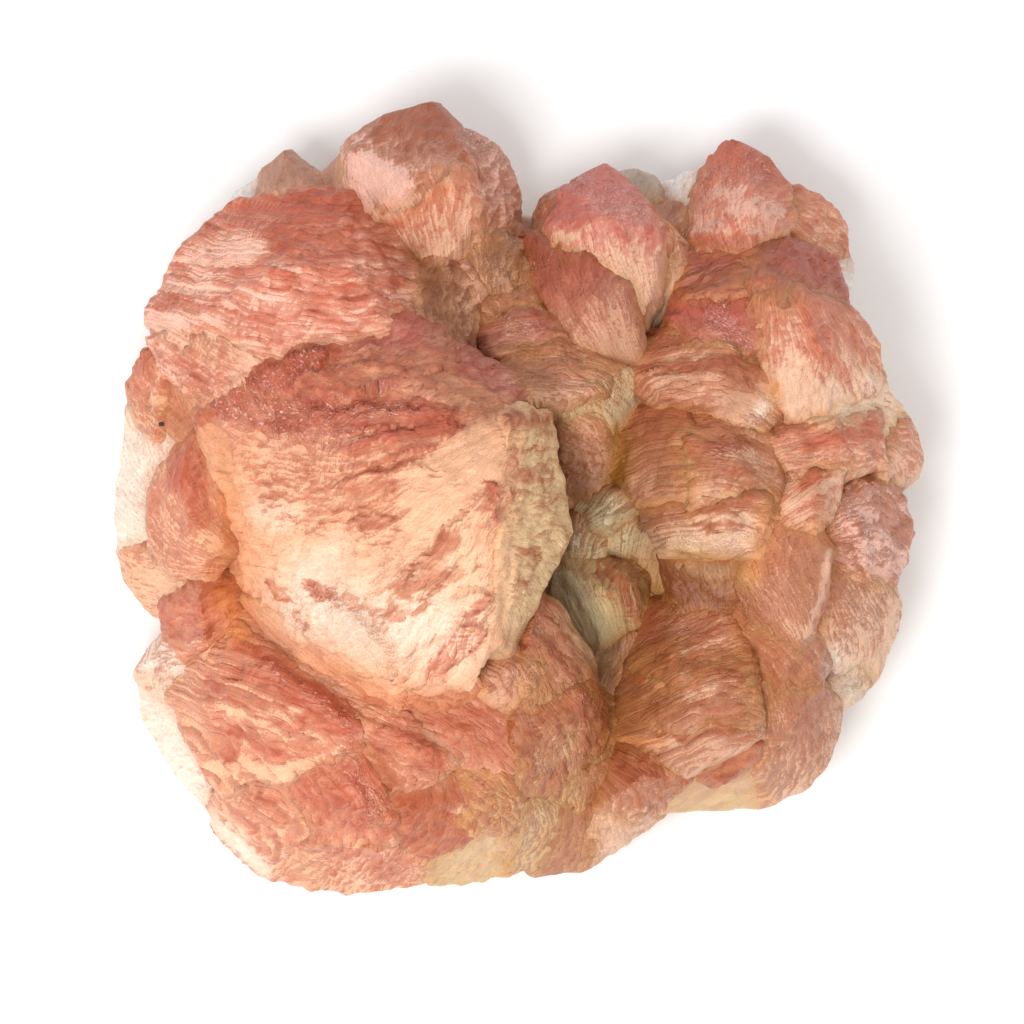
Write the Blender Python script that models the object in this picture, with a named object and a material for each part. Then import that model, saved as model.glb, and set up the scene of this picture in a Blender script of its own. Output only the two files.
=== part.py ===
"""Stilbite specimen: one cluster of sheaf-shaped crystals grown on a lump of paler stilbite.

Every crystal is a fan that starts at a buried foot and ends in a few flat faces, so its solid is the
convex hull of the foot and of the corners of those faces.  Shards, thin flat plates that stand a little
proud of the faces, give the ledges that stilbite breaks and grows in.  All of them overlap and are joined
to the base in one solid, which rests on the flat face where the cluster came off its rock.

Millimetres here, metres in the scene.  +Z is up, away from the rock; the crystals' tips lean to +Y.
"""

import math

import bmesh
import bpy
import numpy as np
from mathutils import Vector
from mathutils.bvhtree import BVHTree

MM = 0.001
NODE = "stilbite_cluster"
SEED = 7

FOOT_SPREAD = 2.0  # a crystal is this wide at its foot
SHARD_EDGE = 10.0  # one shard is tried for each square of a crystal's face with this side
SHARD_APART = 11.0  # no two shards are closer than this
SHARD_INWARD = 0.35  # share of the way from a spot on a face to its middle that a shard moves
SHARD_SHADED = 1.0  # a spot this far under another crystal gets no shard
SHARD_RIM = 42.0  # nor does one this far from the middle, which would show against the sky
SHARD_RISE = (0.7, 1.5)  # how far a shard's tip end stands proud of the face under it
SHARD_DEPTH = 3.5  # how far its root is buried
SHARD_REACH = (3.2, 6.5)  # half the length of a shard, along the streaks
SHARD_ASPECT = 0.4  # its width over its length
SHARD_CORNERS = 5
SWELL_DROP = 3.0  # a crystal is widest this far below the corners of its faces
SWELL = 1.6  # and sticks out this much more there, so it runs into its neighbours
EDGE_RADIUS = 48.0  # corners this far from the middle lie on the cluster's own edge and don't swell out
LEDGE_DEPTH = 3.0  # how far the root of a ledge is buried
LEAST_UP = 0.35  # shards sit only on faces whose normal rises at least this much
SEAM = 0.001  # corners closer than this are one corner
FLAT_ENOUGH = math.radians(0.5)  # faces that meet flatter than this are one face

STILBITE_COLOUR = (0.71, 0.36, 0.24, 1.0)
STILBITE_ROUGHNESS = 0.45

# The lump that the crystals grow from: its outline, then (height, spread of the outline) up its side.
BASE_OUTLINE = [
    (47, 4), (44, 20), (36, 32), (22, 36), (2, 32), (-16, 38), (-34, 33), (-44, 18), (-47, -2), (-43, -26),
    (-34, -42), (-14, -46), (6, -44), (24, -37), (38, -30), (46, -14),
]
BASE_LEVELS = [(-4, 0.80), (2.8, 0.90), (9.2, 0.953), (14.4, 0.87)]

# Each crystal: (foot, corners of its faces).
CRYSTALS = {
    # The great fan on the left, which spreads to the right and towards the viewer.
    "great_fan": ((-33, -8, 9), [
        (-38.7, 10.3, 27), (-31, 16.0, 33), (-24, 18.4, 36), (-12, 15, 41), (-2.5, 11, 44),
        (-1.2, 6, 46.5), (-3, -3, 48), (-3.2, -16.5, 43), (-6.5, -21.8, 42.5), (-14.7, -22, 42.5),
        (-20, -18.8, 39), (-26, -16, 33), (-33.5, -10, 23), (-35.5, 1, 26), (-20, 7, 44.5), (-12, -10, 47.5),
        (-8, 2, 48.5)]),
    "great_fan_flank": ((-26, -6, 12), [
        (-1.5, 9.5, 45.5), (1, 10.4, 42), (5.3, 9.2, 37), (5.4, 0, 38), (7.3, -3.7, 36), (3.8, -9.8, 38),
        (2, -16, 37), (0.8, -18.6, 37), (-3.2, -17, 42), (-2, -6, 47)]),
    "great_fan_brow": ((-24, 0, 14), [
        (-22.5, 16.5, 36), (-18, 20.4, 33), (-13, 22.3, 32), (-9.8, 20.6, 33), (-9, 16, 39), (-13, 13.5, 42),
        (-20, 13, 41.5)]),
    "great_fan_brow_right": ((-20, 0, 14), [
        (-11, 19.2, 34), (-7.6, 18.7, 34), (-4.6, 16.8, 35), (-2, 15.2, 36), (-1.8, 11.5, 42), (-7, 11, 44.5),
        (-12, 13, 43)]),
    # The fan above it.
    "upper_left_fan": ((-27, 12, 10), [
        (-45.8, 22.5, 15), (-41, 31.3, 15), (-34, 36.8, 16), (-27.5, 37.9, 18), (-20.5, 38, 20),
        (-14.6, 34, 22), (-12, 25, 26), (-15, 20, 33), (-24, 17, 35), (-33, 15, 31), (-42, 19.5, 23),
        (-29, 28, 34.5), (-20, 28.5, 34), (-36, 24, 30)]),
    "upper_left_feather": ((-31, 6, 10), [
        (-45.4, 19.8, 18), (-43, 20.6, 20), (-35, 20, 30), (-31, 17, 33), (-33, 14, 32), (-38, 11.5, 27),
        (-42.5, 16, 22)]),
    # The back row, with tips that lean away.
    "small_peak": ((-25, 24, 6), [
        (-28.5, 43.1, 12), (-31.2, 40.8, 12), (-31.3, 36, 14), (-29.3, 37, 19), (-24, 39.6, 13), (-22, 36, 16)]),
    "small_peak_side": ((-20, 24, 6), [
        (-24.5, 39.9, 11), (-22, 42.2, 13), (-20.3, 43, 16), (-18.5, 37, 20), (-21.5, 35.5, 19)]),
    "top_block": ((-9, 25, 7), [
        (-20.5, 44.6, 15), (-16, 47.5, 15), (-13.4, 48.3, 15), (-10.3, 49.1, 15), (-7.9, 46.6, 18),
        (-6, 42, 24), (-9.5, 40, 29), (-13, 38.3, 28.5), (-17, 35, 25), (-20, 39.5, 20.5), (-20, 43, 19.5)]),
    "top_block_front": ((-10, 22, 8), [
        (-16.8, 35, 24.5), (-9.5, 40.4, 28.5), (-6.2, 41, 25), (-5, 36, 24.5), (-5.6, 33, 23.5), (-9.4, 28.6, 22),
        (-13.5, 31, 22)]),
    "top_block_right": ((-5, 24, 7), [
        (-8.2, 46.7, 13), (-5, 45.1, 12), (-2.6, 43.6, 12), (-1.3, 40.6, 12), (-0.3, 36.5, 13), (-0.9, 33, 16),
        (-4, 31, 20), (-5.2, 36, 23), (-7, 42.5, 21)]),
    "tooth": ((17, 18, 8), [
        (6.8, 38, 17), (9, 39.4, 15), (11.4, 41.1, 14), (13.5, 39.1, 16), (15.9, 36, 21), (17.8, 33, 24),
        (17.6, 28, 25), (13, 26, 28), (6.5, 29.8, 26), (5, 33.5, 22), (10.5, 34.5, 26.5)]),
    "tooth_left": ((12, 20, 8), [
        (3.2, 34.5, 13), (4.2, 37.2, 12), (6.2, 38.7, 12), (7.6, 37.4, 15), (7, 33, 20), (4.2, 32, 19)]),
    "tooth_right": ((16.5, 19, 8), [
        (16, 36.2, 18), (18.2, 33.6, 20), (20.7, 31, 20), (21.4, 28.4, 20), (20.4, 25.4, 20), (17, 20.3, 19),
        (16.6, 28, 24)]),
    "grey_back_crystal": ((15, 24, 5), [
        (12.4, 39.6, 10), (13.9, 40.3, 9), (15.3, 40.7, 9), (16.8, 39.8, 9), (17.7, 38, 10), (17.8, 35.6, 11),
        (14, 35, 13)]),
    "brown_back_crystal": ((18, 22, 6), [
        (16, 36.6, 11), (19.6, 36.5, 12), (22.2, 35.3, 13), (22.9, 33.5, 14), (22.3, 29.5, 16), (19.5, 29, 18),
        (17.5, 33, 17)]),
    "top_right_block": ((28, 20, 7), [
        (22.3, 36.5, 13), (24.8, 41.6, 12), (26.9, 44.3, 12), (29.4, 42.6, 12.5), (31.2, 42.2, 13), (33.6, 38.8, 14),
        (34.6, 35.5, 17), (33.4, 32.6, 21), (28.3, 30.2, 24), (24.5, 31, 22.5), (22.1, 33, 18), (29, 36.5, 23)]),
    "top_right_shell": ((32, 22, 6), [
        (33.4, 38.9, 12), (35.6, 38.8, 11), (39.2, 36.5, 11), (40.6, 34.7, 11), (41.2, 31, 12), (38, 29.8, 17),
        (34.5, 31, 20), (34, 35, 18)]),
    "white_left_of_block": ((23, 26, 5), [
        (19.2, 36.8, 9), (19.9, 39.2, 9), (21.8, 40.2, 9), (23.4, 40.9, 10), (24.4, 39, 12), (22.8, 35, 13),
        (20, 35.8, 11)]),
    "white_right_knob": ((36, 24, 5), [
        (40.2, 30.8, 10), (41.5, 29.5, 9), (41.8, 28, 9), (41, 26.3, 9), (39, 26, 13), (39, 29.5, 13)]),
    "white_upper_left": ((-28, 24, 5), [
        (-36.4, 35.8, 10), (-34.6, 38, 9), (-32.6, 39.3, 9), (-31, 39.5, 10), (-30, 36, 13), (-34, 34, 13)]),
    # The middle of the back, down to the crevice.
    "middle_tooth": ((10, 13, 8), [
        (1.8, 32.2, 18), (4.2, 32, 19), (9.5, 29, 24), (15.2, 25.3, 26.5), (16.2, 20, 27), (16.1, 17.2, 26.5),
        (12, 16, 27.5), (6.6, 19.5, 27), (3, 25.5, 23), (10, 24, 29.5)]),
    "middle_left_wedge": ((-1, 18, 8), [
        (-7.6, 30, 19), (-5.3, 32.5, 20), (-2.5, 32.6, 19), (0.6, 31, 19), (-0.6, 25.5, 23), (-4.2, 23.4, 22),
        (-6.4, 27, 21)]),
    "middle_saddle": ((2, 18, 8), [
        (-0.5, 32.8, 14), (2.6, 32.4, 15), (3.5, 26, 21), (-0.5, 24.5, 22), (1.5, 28, 21)]),
    "glassy_blade": ((-3, 14, 9), [
        (-8.4, 28, 21), (-6.1, 28.9, 22.5), (-4.6, 25, 24), (-3.6, 21, 24), (-5, 20.5, 22), (-8.6, 25, 21)]),
    "middle_low_step": ((1, 12, 9), [
        (-3.9, 23.8, 24), (-1.6, 24.2, 24), (1.6, 26, 22.5), (4.6, 21.5, 25.5), (0, 20.5, 28), (-3.4, 21, 26)]),
    "gloss_step": ((2, 8, 10), [
        (-3.2, 20.3, 28), (-1, 22.2, 27), (1.8, 22.4, 27), (4, 21.1, 27.5), (6, 18.8, 28.5), (2, 17, 31),
        (-2.4, 17.5, 31)]),
    "brow_of_crevice": ((4, 4, 12), [
        (-2.2, 15.8, 32), (0.2, 18.2, 30), (4.6, 19.4, 29), (9, 17.4, 29), (13.2, 15.8, 28.5), (9, 13, 33),
        (1, 11.5, 36)]),
    "pale_crevice_crystal": ((9, 0, 12), [
        (4.6, 15.6, 30), (10, 16.4, 29), (13.8, 15.2, 28.5), (14.3, 11, 26.5), (12.4, 7.6, 26), (9.6, 10.6, 29),
        (5.2, 11, 32), (10.5, 13.6, 31.5)]),
    "crevice_step": ((6, -2, 12), [
        (4.8, 12.2, 31), (9.3, 11.5, 30), (12.3, 6.8, 27), (12.1, 4, 25), (10.4, 2, 24), (6, 5.6, 27),
        (8.5, 8.6, 30.5)]),
    # Inside the crevice.
    "pocket_brown": ((7, -4, 8), [
        (4.6, 6.4, 21), (7.2, 6, 21), (8.9, 3, 20), (8.6, 0.6, 20), (5, -1, 20)]),
    "pocket_upper": ((11, -4, 8), [
        (7, 0, 19), (10, 2.4, 21), (12.2, 3.4, 22), (14.2, 3.1, 23), (16, 1, 24), (15.2, -1, 24), (10.6, -3.2, 21.5),
        (12.6, 0.4, 25)]),
    "pocket_small": ((8, -8, 8), [
        (6.6, -3, 18), (7.6, -1, 19), (9.2, -2, 20), (10.7, -4.6, 19.5), (10.5, -8, 17.5), (6.4, -7.2, 17)]),
    "pocket_green_left": ((13, -8, 8), [
        (10.8, -2.4, 18), (14.6, -1, 20), (18.8, -4, 21), (17.8, -7, 20), (11, -6, 17.5), (15, -3.6, 22)]),
    "pocket_yellow": ((16, -12, 8), [
        (12.8, -5.6, 17.5), (15.2, -5, 19), (19.3, -6.4, 20), (20, -10, 20), (18.6, -12.5, 18), (14, -10, 16.5)]),
    "pocket_green": ((10, -16, 7), [
        (4.4, -8.4, 16), (6.2, -7.4, 17.5), (11.8, -9, 20.5), (13.6, -8.5, 21), (15.1, -9.8, 21.5), (15.3, -15, 20),
        (10.2, -19.8, 16), (5, -14.5, 15), (11.4, -11.6, 24)]),
    "pocket_mauve": ((15, -15, 8), [
        (15.1, -11.2, 18), (17.8, -12.2, 18), (17.5, -14, 17.5), (15.4, -15.2, 17)]),
    "pocket_plate": ((12, -22, 8), [
        (8.8, -20, 18), (13.8, -17, 20), (17, -15.2, 19), (15.2, -19.4, 19), (12, -24.4, 20), (9.2, -24, 20)]),
    # The right side, from the top.
    "right_shoulder": ((27, 14, 9), [
        (22, 31, 18), (25.2, 31.2, 20), (30, 31, 23), (30.6, 26.5, 30), (26.5, 24.6, 28.5), (21, 24.8, 25),
        (21, 28, 21)]),
    "right_knob": ((32, 16, 9), [
        (29.4, 31, 22.5), (31.6, 32.3, 21.5), (33.6, 32.3, 21), (37.9, 30.7, 19), (39.7, 29.1, 18), (40.9, 25.8, 18),
        (40.9, 22.5, 21), (33, 23.5, 33), (29.4, 27, 30.5), (34, 28, 27.5)]),
    "right_big_face": ((33.5, 8, 9), [
        (30.4, 25.2, 31.5), (35, 25.6, 31), (41, 23.4, 22), (43.2, 21.9, 20), (44.8, 19, 18), (45.2, 15.6, 18),
        (44.3, 13.8, 21), (38, 11, 28), (34.4, 9.4, 29.5), (32.3, 12.5, 31.5), (31.2, 19, 33), (37, 19.5, 33)]),
    "right_gloss_wedge": ((25, 12, 10), [
        (19.4, 22.2, 24.5), (21.2, 25, 24), (26, 25, 27), (29.4, 24, 29.5), (31.2, 19.4, 31), (28, 17.6, 31.5),
        (22, 19, 29)]),
    "right_upper_wedge": ((21, 6, 10), [
        (13.8, 15.6, 27), (16.8, 19.6, 24), (20, 20.9, 25), (24, 20.3, 28), (28, 18, 31), (32.4, 13, 29.5),
        (31.2, 9.6, 30.5), (29.6, 7.6, 31), (24.5, 11.4, 34), (18, 12.5, 32), (25, 16, 34)]),
    "right_middle_left": ((18, -2, 10), [
        (12.6, 8.6, 25), (14.4, 10.6, 26), (18, 12.1, 27.5), (20.8, 10.6, 32), (23, 3, 37), (22, 0.5, 37),
        (15.4, 0.8, 31), (12.9, 4.4, 27), (19, 7, 33.5)]),
    "right_middle": ((25, -2, 10), [
        (19.8, 11.4, 28.5), (22, 12.9, 28.5), (25, 12.9, 28.5), (30.4, 8, 31), (31.8, 4, 32.5), (32, 0.5, 33),
        (30, -1, 36.5), (22, 0, 38), (21, 7, 35), (27, 4.5, 37)]),
    "right_ledge": ((24, -5, 10), [
        (15.7, 0.3, 29), (20, 0.9, 33), (26, 1, 37), (29.8, 0.4, 37.5), (31.2, -2, 34.5), (29, -6.3, 35),
        (25, -5.7, 36.5), (19, -6.2, 31.5), (17.8, -4.4, 29.5), (25.5, -2.6, 39)]),
    "right_wedge": ((34, -4, 10), [
        (31.8, -0.8, 32), (34, 1.9, 31.5), (36.5, 3.8, 31), (40.4, 4.1, 28.5), (38, -1.2, 32), (36.2, -3.9, 33),
        (33, -2.8, 33), (36.4, 1, 34)]),
    "right_band": ((36, 4, 9), [
        (30.8, 7.6, 31.5), (37, 9.2, 30), (44.8, 10.6, 22), (45.3, 4.6, 23), (40, 3.8, 29), (34, 2.6, 32),
        (39.5, 7, 30.5)]),
    "right_band_upper": ((37, 8, 9), [
        (35.2, 9.3, 29.5), (40, 12, 26), (45, 14.4, 18), (46.5, 13, 15), (48.1, 10.2, 13), (45.6, 8, 20),
        (39, 8.2, 29)]),
    "right_end_knob": ((42, 4, 7), [
        (45, 9.3, 18), (48.2, 10.2, 14), (49.6, 8.4, 12), (50.3, 6, 12), (50.3, 3.8, 12), (48.4, 2.2, 13),
        (46.8, 1.6, 15), (44.8, 3, 21), (47.2, 6.2, 19)]),
    "right_gloss_fan": ((37, -8, 8), [
        (36.8, -3, 28), (39.2, -0.3, 28), (42.2, 1.3, 25.5), (45.3, 3, 19), (47.9, 0, 14), (48.8, -4, 13),
        (48.4, -7.6, 12.5), (46.8, -10.8, 13.5), (43, -10.6, 21), (38.2, -7, 27), (42, -3.4, 28.5)]),
    "right_flat_plate": ((33, -14, 10), [
        (31.8, -1.9, 31.5), (36.3, -3.9, 32.5), (38.4, -7, 30.5), (37.4, -11.5, 31.5), (36.2, -15.6, 32.5),
        (34.8, -17.4, 32.5), (30.2, -13.9, 31.5), (28, -9.4, 30.5), (28.6, -6, 31), (33, -9.5, 34.5)]),
    "right_lower_fan": ((38, -10, 8), [
        (38, -7, 26), (44, -10.2, 20), (46.6, -11.4, 15), (47.9, -13.2, 13), (46.9, -17, 12), (45, -21.4, 11.5),
        (43, -23.4, 11.5), (38.2, -20.4, 23), (36.6, -15.4, 28), (41, -14.6, 25.5)]),
    "right_lower_tip": ((37, -17, 6), [
        (37.8, -19.6, 22), (41, -20.4, 18.5), (44.6, -21.8, 11), (42, -24.9, 9.5), (40, -26.9, 9.5), (38.6, -25, 16)]),
    "crevice_right_plate": ((22, -14, 9), [
        (18.8, -6.6, 23), (22, -6.8, 25), (27.4, -8.4, 26.5), (28.4, -11.6, 27), (26, -13.6, 26.5), (20, -13.6, 23)]),
    "lower_block": ((22, -20, 8), [
        (17.6, -13, 21), (23.4, -12.1, 23.5), (26, -13.5, 26), (29, -20, 30), (28.6, -23, 32), (20, -22, 31.5),
        (14.6, -20, 22)]),
    "lower_block_middle": ((22, -24, 8), [
        (14.2, -20.6, 21.5), (20, -19.6, 29), (28.8, -19.8, 31), (29.3, -27, 32.5), (21, -27.2, 33.5), (13, -26, 22),
        (24, -23.5, 34.5)]),
    "lower_block_ledge": ((22, -26, 8), [
        (12.2, -29.2, 20), (14, -25, 22), (21, -25, 31), (29.2, -24.6, 31.5), (29.5, -29.2, 31.5), (27, -30.1, 31),
        (21.5, -33, 27.5), (17, -30.3, 25.5), (24, -28, 33.5)]),
    "right_side_plate": ((31, -20, 9), [
        (27.4, -11.4, 27), (31, -14.4, 29.5), (34.8, -17.2, 30), (36.2, -15.8, 29.5), (38.1, -20, 25.5), (36.6, -22.6, 27),
        (32, -23.7, 30), (29, -19.4, 28), (26.4, -14.6, 26), (33, -19, 31)]),
    "lower_right_fan": ((33, -20, 7), [
        (29.8, -22, 29), (33.5, -22.3, 29.5), (37.2, -22.4, 26), (39.9, -26.8, 16), (39.8, -29, 14), (38.5, -33, 12),
        (35.6, -36, 10.5), (31.2, -37.7, 10.5), (30.2, -33, 22), (29.6, -27, 28), (34, -27, 27.5)]),
    "lower_base_face": ((26, -24, 5), [
        (19, -34.5, 19), (25, -33, 23), (29.8, -30.6, 25), (31.4, -37.7, 9.5), (25, -38.1, 8), (18.6, -38.1, 8),
        (16.6, -38.6, 10)]),
    "lower_chip": ((26, -26, 9), [
        (22.4, -33.2, 24.5), (24.6, -30.6, 28.5), (29.6, -29.8, 27.5), (29, -32.2, 25), (25.2, -34.8, 22.5)]),
    "lower_middle_fan": ((15, -28, 7), [
        (11.6, -31.8, 19.5), (14, -30.4, 21.5), (17.2, -30.8, 23), (21.5, -33.7, 22), (19, -36.2, 20), (15.6, -39.6, 17.5),
        (10.6, -37.6, 20), (15.4, -34, 25.5)]),
    "lower_middle_base": ((12, -30, 4), [
        (10.6, -36.6, 20), (15.2, -38.6, 17), (17.8, -39.3, 9), (14.6, -41, 8.5), (12.8, -43.2, 8.5), (8.6, -45.6, 8.5),
        (8.8, -40, 17)]),
    # The lower left fan and its companions.
    "lower_left_fan": ((-33, -16, 9), [
        (-34.4, -16.4, 26), (-30, -20.3, 32), (-22, -25.4, 36.5), (-18, -28, 36), (-19.6, -30.6, 35), (-28, -34, 30),
        (-36, -36.2, 20), (-39.2, -31, 19), (-42.8, -24.7, 16), (-38, -20, 22.5), (-28.5, -26.5, 36), (-35, -25, 30)]),
    "crevice_lip": ((-30, -12, 9), [
        (-33.4, -13, 22), (-30, -16.6, 25), (-22, -19.6, 30), (-15, -24.2, 33), (-14, -27.5, 34.5), (-20, -27, 35),
        (-28, -21.6, 31), (-34.6, -17, 24)]),
    "crevice_lip_right": ((-14, -16, 10), [
        (-17, -23.4, 32), (-10, -25, 32), (-4.6, -23.6, 33), (-1.6, -26, 34), (0.2, -28.6, 34), (-0.6, -33.6, 33),
        (-8, -32, 35), (-14, -27.5, 35), (-5, -28, 36)]),
    "tongue": ((-20, -20, 9), [
        (-19.4, -26.3, 35), (-13.6, -25.6, 35), (-8.4, -30.4, 36), (-7.6, -32.2, 36), (-10, -34.3, 35.5), (-15, -34.6, 34),
        (-18.2, -30, 35), (-13, -30, 38.5)]),
    "lower_left_plate": ((-24, -28, 8), [
        (-26, -31.6, 31.5), (-19.4, -30.4, 34), (-16, -35.8, 32.5), (-14.7, -39, 31), (-15.6, -42, 27), (-24.6, -42, 25),
        (-27.4, -36, 28.5), (-20.4, -36.6, 34.5)]),
    "lower_left_corner": ((-28, -30, 6), [
        (-36, -35.4, 21), (-28, -33.8, 28.5), (-25, -40, 27), (-24.6, -47.6, 11.5), (-30, -46.8, 10), (-33.4, -45, 10),
        (-37.2, -41, 10.5), (-37.6, -37.8, 13), (-30, -39.6, 25.5)]),
    "bottom_plate": ((-18, -32, 6), [
        (-26, -41.4, 25), (-16, -41.8, 27), (-10.6, -44.4, 20), (-12.6, -47.6, 10.5), (-20.6, -48.5, 9), (-25.4, -48.2, 9),
        (-19, -43.6, 24)]),
    "bottom_middle_plate": ((-10, -28, 7), [
        (-15.4, -34.4, 32), (-8, -32.8, 34.5), (-4.4, -36.6, 32.5), (-6, -41.4, 27), (-11, -43.8, 22), (-15.4, -41.6, 26),
        (-10, -37, 34)]),
    "bottom_right_plate": ((-4, -28, 7), [
        (-7.4, -32, 34), (-1, -33.2, 33), (0, -37, 31.5), (-1.4, -40.4, 28), (-7, -40, 29), (-4, -35.8, 35)]),
    "bottom_rim": ((-5, -32, 5), [
        (-11.4, -43, 22), (-4, -40, 26.5), (0, -40.4, 25), (-0.8, -45.7, 11), (-5, -47.1, 9), (-10.4, -47.8, 9)]),
    "small_under_fan": ((-3, -17, 12), [
        (-3.6, -16.8, 35), (1.4, -19.5, 36), (2.2, -20.8, 36), (1.4, -23.4, 35.5), (-0.6, -25.5, 35), (-5, -22.8, 34),
        (-1.4, -21, 38)]),
    "flank_upper": ((0, -18, 10), [
        (3, -12, 31), (5.2, -13.8, 30), (8.9, -20, 27.5), (8.8, -24, 29), (2, -25.4, 35), (0.4, -22, 36),
        (1.6, -16.6, 35.5)]),
    "flank_lower": ((2, -24, 8), [
        (0.6, -23.8, 35.5), (8.6, -23.4, 30.5), (10.3, -26.6, 26), (9.9, -30.4, 23.5), (7, -34.2, 23), (4.4, -36.2, 25),
        (-0.4, -35.4, 31), (-0.2, -28.4, 35), (5, -28, 33.5)]),
    "flank_small": ((8, -26, 7), [
        (9.8, -24.2, 23), (11.6, -24.8, 21.5), (12.7, -26.5, 20), (12.3, -29.2, 19), (11.2, -32.8, 19), (9.2, -31.8, 22)]),
    "flank_step": ((7, -29, 7), [
        (5, -35.6, 23.5), (7.2, -33.4, 24), (11.4, -32.2, 20.5), (12, -34.6, 18.5), (10, -37, 18), (5.2, -38.6, 20.5)]),
    "flank_foot": ((6, -34, 4), [
        (3.6, -40.4, 19.5), (5.2, -37.4, 22), (10.2, -37.6, 18), (9.6, -42, 14), (8.8, -45.6, 9.5), (4.4, -46.1, 9),
        (2.4, -46.5, 9)]),
    "flank_rim": ((1, -34, 5), [
        (-1, -40.6, 25), (0, -37.6, 28), (3.2, -35.4, 25.5), (4.9, -38, 22.5), (4.4, -42, 17), (2.2, -45.4, 10.5),
        (-1.4, -45.7, 11)]),
    # The left edge.
    "left_blade": ((-40, 6, 6), [
        (-45.4, 18.3, 14), (-43, 16.6, 18), (-43.2, 11, 19), (-44.6, 7.6, 18), (-47.7, 11.8, 10), (-48.1, 14.4, 10),
        (-47.4, 15.8, 11)]),
    "left_recess": ((-38, 6, 8), [
        (-43.4, 16.6, 16.5), (-39.6, 14, 21), (-38.2, 9.6, 22), (-41, 7.4, 19.5), (-43.8, 9.6, 16.5)]),
    "left_white_face": ((-40, -2, 4), [
        (-47.7, 12, 10), (-44, 9.4, 16.5), (-40, 9, 19.5), (-41, 3, 19.5), (-44.4, -4.4, 17), (-48.8, -6.4, 9),
        (-49.8, -2, 8), (-48.4, 2, 8), (-47.9, 8, 9)]),
    "left_plate": ((-38, -6, 8), [
        (-39.3, 8.5, 23), (-36, 3.4, 26.5), (-35.4, -5.4, 28), (-38.4, -9, 26), (-42, -8.6, 22), (-44.9, -5.6, 18),
        (-44.6, 1.6, 18), (-42.4, 5.2, 20), (-41, 3, 26.5), (-39.2, -5, 28.5)]),
    "left_low_plate": ((-40, -10, 5), [
        (-49.1, -6.6, 9), (-45, -5.2, 16.5), (-40, -8.4, 21.5), (-40.6, -11.4, 20), (-45.4, -13.6, 9.5), (-48.4, -9.9, 8.5)]),
    "left_block": ((-37, -14, 7), [
        (-43.6, -13.4, 18), (-38.6, -8.9, 23), (-35, -10.2, 24), (-33.6, -13.6, 23), (-37.6, -19.2, 22.5), (-41, -18.8, 20),
        (-43.1, -16.2, 17), (-38.4, -12.6, 27), (-37.8, -17, 25.5)]),
    "left_lower_plate": ((-39, -18, 5), [
        (-43.2, -16.6, 14), (-37.8, -18.8, 21), (-39.6, -22.8, 19), (-42.8, -25, 14.5), (-46.9, -22, 8), (-45.1, -19.1, 8)]),
    "left_white_rim": ((-38, -26, 3), [
        (-46.8, -22, 8), (-42.6, -22, 15), (-38, -34, 18), (-36.6, -38.4, 14), (-39, -37.4, 8), (-42, -34.1, 8),
        (-44.2, -30.4, 8), (-46.2, -27, 8)]),
}

# The long ledges on the big fans: (x and y where the ledge starts, x and y of its tip, width, rise).
LEDGES = [
    (-37.5, 11.0, -22.5, 17.6, 3.0, 1.0),
    (-33.0, 11.5, -12.3, 16.0, 3.6, 1.1),
    (-31.0, 9.6, -7.0, 9.8, 2.6, 1.0),
    (-30.0, 3.4, -6.0, 8.2, 3.0, 0.9),
    (-27.5, -1.4, -10.5, 3.2, 4.0, 1.0),
    (-25.0, -6.0, -14.0, -3.0, 4.4, 0.8),
    (-17.0, -17.0, -2.0, 1.6, 3.4, 1.5),
    (-25.5, -10.6, -14.8, -21.0, 4.4, 1.4),
    (-30.0, -9.6, -24.8, -15.6, 2.6, 1.0),
    (-12.0, -20.6, -3.9, -15.2, 3.6, 1.2),
    (-9.5, -13.5, -3.0, -11.6, 2.6, 1.0),
    (-1.0, 3.4, 4.6, 2.6, 3.4, 1.0),
    (-0.6, -5.6, 3.2, -7.6, 3.0, 1.0),
    (-30.0, 17.4, -42.6, 24.6, 3.4, 1.0),
    (-28.0, 18.4, -37.6, 31.6, 3.8, 1.1),
    (-27.0, 19.0, -29.0, 33.6, 3.6, 1.0),
    (-24.0, 20.0, -20.4, 33.4, 4.2, 1.1),
    (-21.0, 20.6, -13.6, 29.0, 3.6, 1.0),
    (-31.0, -20.6, -19.6, -28.0, 3.0, 1.1),
    (-34.0, -21.0, -24.0, -31.6, 3.2, 1.0),
    (-36.6, -23.0, -33.6, -34.0, 3.0, 1.0),
    (-19.0, -27.0, -9.0, -32.0, 3.0, 1.0),
    (-21.6, -33.0, -18.4, -40.0, 3.4, 1.0),
    (34.6, 11.0, 38.8, 21.6, 3.4, 1.0),
    (18.0, 3.0, 28.0, 3.6, 3.0, 1.0),
    (17.6, -1.0, 27.6, -3.0, 3.2, 1.2),
    (15.0, -22.0, 28.0, -21.6, 2.8, 1.0),
    (14.6, -26.0, 28.6, -25.6, 2.8, 1.0),
    (19.0, 15.0, 29.6, 14.6, 3.6, 1.0),
]


def hull_into(mesh, points):
    """Adds the convex hull of the points to a bmesh, without the points that fall inside it."""
    corners = [mesh.verts.new(Vector(point) * MM) for point in points]
    made = bmesh.ops.convex_hull(mesh, input=corners, use_existing_faces=False)
    spare = {v for key in ("geom_interior", "geom_unused") for v in made[key] if isinstance(v, bmesh.types.BMVert)}
    bmesh.ops.delete(mesh, geom=list(spare), context="VERTS")


def middle_of(points):
    return sum((Vector(p) for p in points), Vector()) / len(points)


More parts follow.
